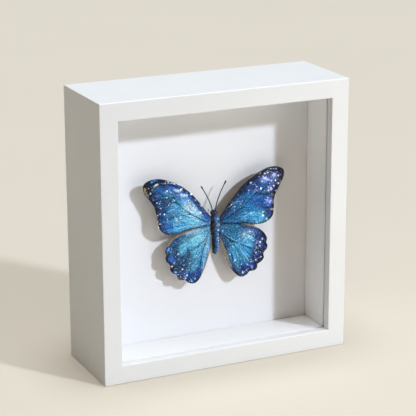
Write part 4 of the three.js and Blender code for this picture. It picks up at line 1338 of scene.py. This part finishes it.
class WingLook(bpy.types.PropertyGroup):
    """Detail and glitter of the wings."""

    wing_slices: bpy.props.IntProperty(
        name="Slices", description="Steps round a wing's outline", default=420, min=40)
    wing_rings: bpy.props.IntProperty(
        name="Rings", description="Steps from a wing's root to its margin", default=96, min=8)
    grain_count: bpy.props.IntProperty(
        name="Grains", description="Glitter grains tried on a wing", default=2600, min=0)
    grain_size: bpy.props.FloatProperty(
        name="Grain size", description="Scale of the small grains", default=1.0, min=0.1)
    sparkle_size: bpy.props.FloatProperty(
        name="Sparkle size", description="Scale of the large pale grains", default=1.15, min=0.1)
    grain_roughness: bpy.props.FloatProperty(
        name="Grain roughness", description="0 is a mirror and 1 is chalk", subtype="FACTOR",
        min=0, max=1, default=0.28)
    flow_root: bpy.props.FloatVectorProperty(
        name="Forewing root", description="Where the forewing's streaks start", size=2,
        default=(1.5, 3.0))
    flow_root_hind: bpy.props.FloatVectorProperty(
        name="Hindwing root", description="Where the hindwing's streaks start", size=2,
        default=(2.0, 2.5))


class StageLook(bpy.types.PropertyGroup):
    """Floor and light of the studio."""

    floor_colour: bpy.props.FloatVectorProperty(
        name="Floor", description="Colour of the plain floor", subtype="COLOR",
        size=3, min=0, max=1, default=(0.56, 0.505, 0.415))
    floor_size: bpy.props.FloatProperty(
        name="Floor size", description="Length of the floor's side", unit="LENGTH", default=12.0)
    sun_strength: bpy.props.FloatProperty(
        name="Sun", description="Strength of the key light", default=2.46, min=0)
    sun_colour: bpy.props.FloatVectorProperty(
        name="Sun colour", description="Colour of the key light", subtype="COLOR",
        size=3, min=0, max=1, default=(0.79, 0.885, 1.0))
    sun_angle: bpy.props.FloatProperty(
        name="Sun size", description="Angle that the key light fills", subtype="ANGLE",
        default=math.radians(5.0))
    sky_colour: bpy.props.FloatVectorProperty(
        name="Sky colour", description="Colour of the light from all round", subtype="COLOR",
        size=3, min=0, max=1, default=(1.0, 0.75, 0.54))
    sky_strength: bpy.props.FloatProperty(
        name="Sky", description="Strength of the light from all round", default=0.02, min=0)
    fill_strength: bpy.props.FloatProperty(
        name="Fill", description="Strength of the soft light from the front", default=0.32,
        min=0)
    top_strength: bpy.props.FloatProperty(
        name="Top light", description="Strength of the soft light from above", default=3.4,
        min=0)
    side_power: bpy.props.FloatProperty(
        name="Side light", description="Watts of the soft light at the front on the right",
        default=0.6, min=0)


class SPECIMEN_OT_mouldings(bpy.types.Operator):
    """Cut the four mouldings and paint them satin white"""

    bl_idname = "specimen.mouldings"
    bl_label = "Cut Mouldings"

    def execute(self, context):
        material = paint_finish(context.scene.specimen_frame)
        for name in ("frame_bottom", "frame_top", "frame_left", "frame_right"):
            attach(rail_piece(name, material), "white_paint", name)
        return {"FINISHED"}


class SPECIMEN_OT_lining(bpy.types.Operator):
    """Finish the spacer strips and the mount board in white"""

    bl_idname = "specimen.lining"
    bl_label = "Line Box"

    def execute(self, context):
        look = context.scene.specimen_frame
        liner = paper_finish("liner_paper", tuple(look.liner_colour), 800.0)
        for name in SPACERS:
            attach(spacer_piece(name, liner), "liner", name)
        dress(("mount_board",), paper_finish("mount_paper", tuple(look.paper_colour), 1200.0))
        return {"FINISHED"}


class SPECIMEN_OT_glass(bpy.types.Operator):
    """Make the pane clear"""

    bl_idname = "specimen.glass"
    bl_label = "Fit Glass"

    def execute(self, context):
        dress(("glass",), glass_finish(context.scene.specimen_frame))
        return {"FINISHED"}


class SPECIMEN_OT_back(bpy.types.Operator):
    """Finish the back panel, the tabs that hold it and the hanger"""

    bl_idname = "specimen.back"
    bl_label = "Close Back"

    def execute(self, context):
        dress(("back_panel",), board_finish())
        dress((*TABS, *HANGER), steel_finish())
        return {"FINISHED"}


class SPECIMEN_OT_wings(bpy.types.Operator):
    """Build the four wings with their veins and scales"""

    bl_idname = "specimen.wings"
    bl_label = "Spread Wings"

    def execute(self, context):
        look = context.scene.specimen_wings
        underside = underside_finish()
        material = wing_finish()
        for name in WINGS:
            attach(wing_piece(name, look, material, underside), "wing_scales", name)
        return {"FINISHED"}


class SPECIMEN_OT_glitter(bpy.types.Operator):
    """Scatter glitter grains on the wings and the body"""

    bl_idname = "specimen.glitter"
    bl_label = "Scatter Glitter"

    def execute(self, context):
        look = context.scene.specimen_wings
        material = grain_finish(look)
        rng = np.random.default_rng(7)
        for name in WINGS:
            attach(wing_glitter(name, look, material, rng), "wing_scales")
        attach(body_glitter(material, rng), "body_chitin")
        return {"FINISHED"}


class SPECIMEN_OT_body(bpy.types.Operator):
    """Build the body with its eyes, palps and legs"""

    bl_idname = "specimen.body"
    bl_label = "Model Body"

    def execute(self, context):
        attach(body_piece(body_finish()), "body_chitin", "body")
        return {"FINISHED"}


class SPECIMEN_OT_antennae(bpy.types.Operator):
    """Build both antennae"""

    bl_idname = "specimen.antennae"
    bl_label = "Set Antennae"

    def execute(self, context):
        material = antenna_finish()
        for name in ANTENNA_ROUTES:
            attach(antenna_piece(name, material), "antenna_chitin", name)
        return {"FINISHED"}


class SPECIMEN_OT_pin(bpy.types.Operator):
    """Turn the pin that holds the specimen on its board"""

    bl_idname = "specimen.pin"
    bl_label = "Turn Pin"

    def execute(self, context):
        attach(pin_piece(pin_finish()), "pin_steel", "pin")
        return {"FINISHED"}


class SPECIMEN_OT_stage(bpy.types.Operator):
    """Set the plain floor, the lights and the camera"""

    bl_idname = "specimen.stage"
    bl_label = "Set Studio"

    def execute(self, context):
        scene = context.scene
        look = scene.specimen_stage
        if look.floor_size <= 0:
            raise RuntimeError("the floor needs a length above zero")
        half = look.floor_size / 2
        corners = np.array([(-half, -half, 0), (half, -half, 0), (half, half, 0), (-half, half, 0)])
        mesh = bpy.data.meshes.new("studio_floor")
        mesh.from_pydata((corners - (0, 0, 0.0001)).tolist(), [], [(0, 1, 2, 3)])
        mesh.materials.append(floor_finish(look))
        floor = bpy.data.objects.new("studio_floor", mesh)
        scene.collection.objects.link(floor)

        lamp(scene, "key_sun", "SUN", look.sun_strength, look.sun_colour, SUN_TRAVEL,
             angle=look.sun_angle)
        lamp(scene, "top_sun", "SUN", look.top_strength, TOP_COLOUR, (0, 0, -1),
             angle=math.radians(TOP_ANGLE))
        lamp(scene, "fill_sun", "SUN", look.fill_strength, FILL_COLOUR, FILL_TRAVEL,
             angle=math.radians(FILL_ANGLE))
        side = lamp(scene, "side_panel", "AREA", look.side_power, SIDE_LIGHT_COLOUR,
                    SIDE_LIGHT_TRAVEL, size=SIDE_LIGHT_SIZE)
        side.location = SIDE_LIGHT_PLACE
        side.visible_camera = False

        world = bpy.data.worlds.new("studio_sky")
        world.use_nodes = True
        sky = world.node_tree.nodes["Background"]
        sky.inputs["Color"].default_value = (*look.sky_colour, 1.0)
        sky.inputs["Strength"].default_value = look.sky_strength
        scene.world = world

        lens = bpy.data.cameras.new("photo_camera")
        lens.lens = CAMERA_LENS
        camera = bpy.data.objects.new("photo_camera", lens)
        turn = (Matrix.Rotation(math.radians(-CAMERA_YAW), 4, "Z")
                @ Matrix.Rotation(math.radians(90 - CAMERA_PITCH), 4, "X")
                @ Matrix.Rotation(math.radians(CAMERA_ROLL), 4, "Z"))
        camera.matrix_world = Matrix.Translation(CAMERA_PLACE) @ turn
        scene.collection.objects.link(camera)
        scene.camera = camera
        scene.view_settings.view_transform = "Standard"
        return {"FINISHED"}


OPERATORS = (
    SPECIMEN_OT_mouldings, SPECIMEN_OT_lining, SPECIMEN_OT_glass, SPECIMEN_OT_back,
    SPECIMEN_OT_wings, SPECIMEN_OT_glitter, SPECIMEN_OT_body, SPECIMEN_OT_antennae,
    SPECIMEN_OT_pin, SPECIMEN_OT_stage,
)


class SPECIMEN_PT_panel(bpy.types.Panel):
    """Lists the specimen's pieces and their looks"""

    bl_label = "Specimen"
    bl_idname = "SPECIMEN_PT_panel"
    bl_space_type = "VIEW_3D"
    bl_region_type = "UI"
    bl_category = "Specimen"

    def draw(self, context):
        scene = context.scene
        for group in (scene.specimen_frame, scene.specimen_wings, scene.specimen_stage):
            box = self.layout.box()
            for key in group.bl_rna.properties.keys():
                if key not in ("rna_type", "name"):
                    box.prop(group, key)
        for operator in OPERATORS:
            self.layout.operator(operator.bl_idname)


CLASSES = (FrameLook, WingLook, StageLook, *OPERATORS, SPECIMEN_PT_panel)


def register():
    for cls in CLASSES:
        bpy.utils.register_class(cls)
    bpy.types.Scene.specimen_frame = bpy.props.PointerProperty(type=FrameLook)
    bpy.types.Scene.specimen_wings = bpy.props.PointerProperty(type=WingLook)
    bpy.types.Scene.specimen_stage = bpy.props.PointerProperty(type=StageLook)


def unregister():
    del bpy.types.Scene.specimen_stage
    del bpy.types.Scene.specimen_wings
    del bpy.types.Scene.specimen_frame
    for cls in reversed(CLASSES):
        bpy.utils.unregister_class(cls)


def main():
    register()
    bpy.ops.specimen.mouldings()
    bpy.ops.specimen.lining()
    bpy.ops.specimen.glass()
    bpy.ops.specimen.back()
    bpy.ops.specimen.wings()
    bpy.ops.specimen.glitter()
    bpy.ops.specimen.body()
    bpy.ops.specimen.antennae()
    bpy.ops.specimen.pin()
    bpy.ops.specimen.stage()


if __name__ == "__main__":
    main()
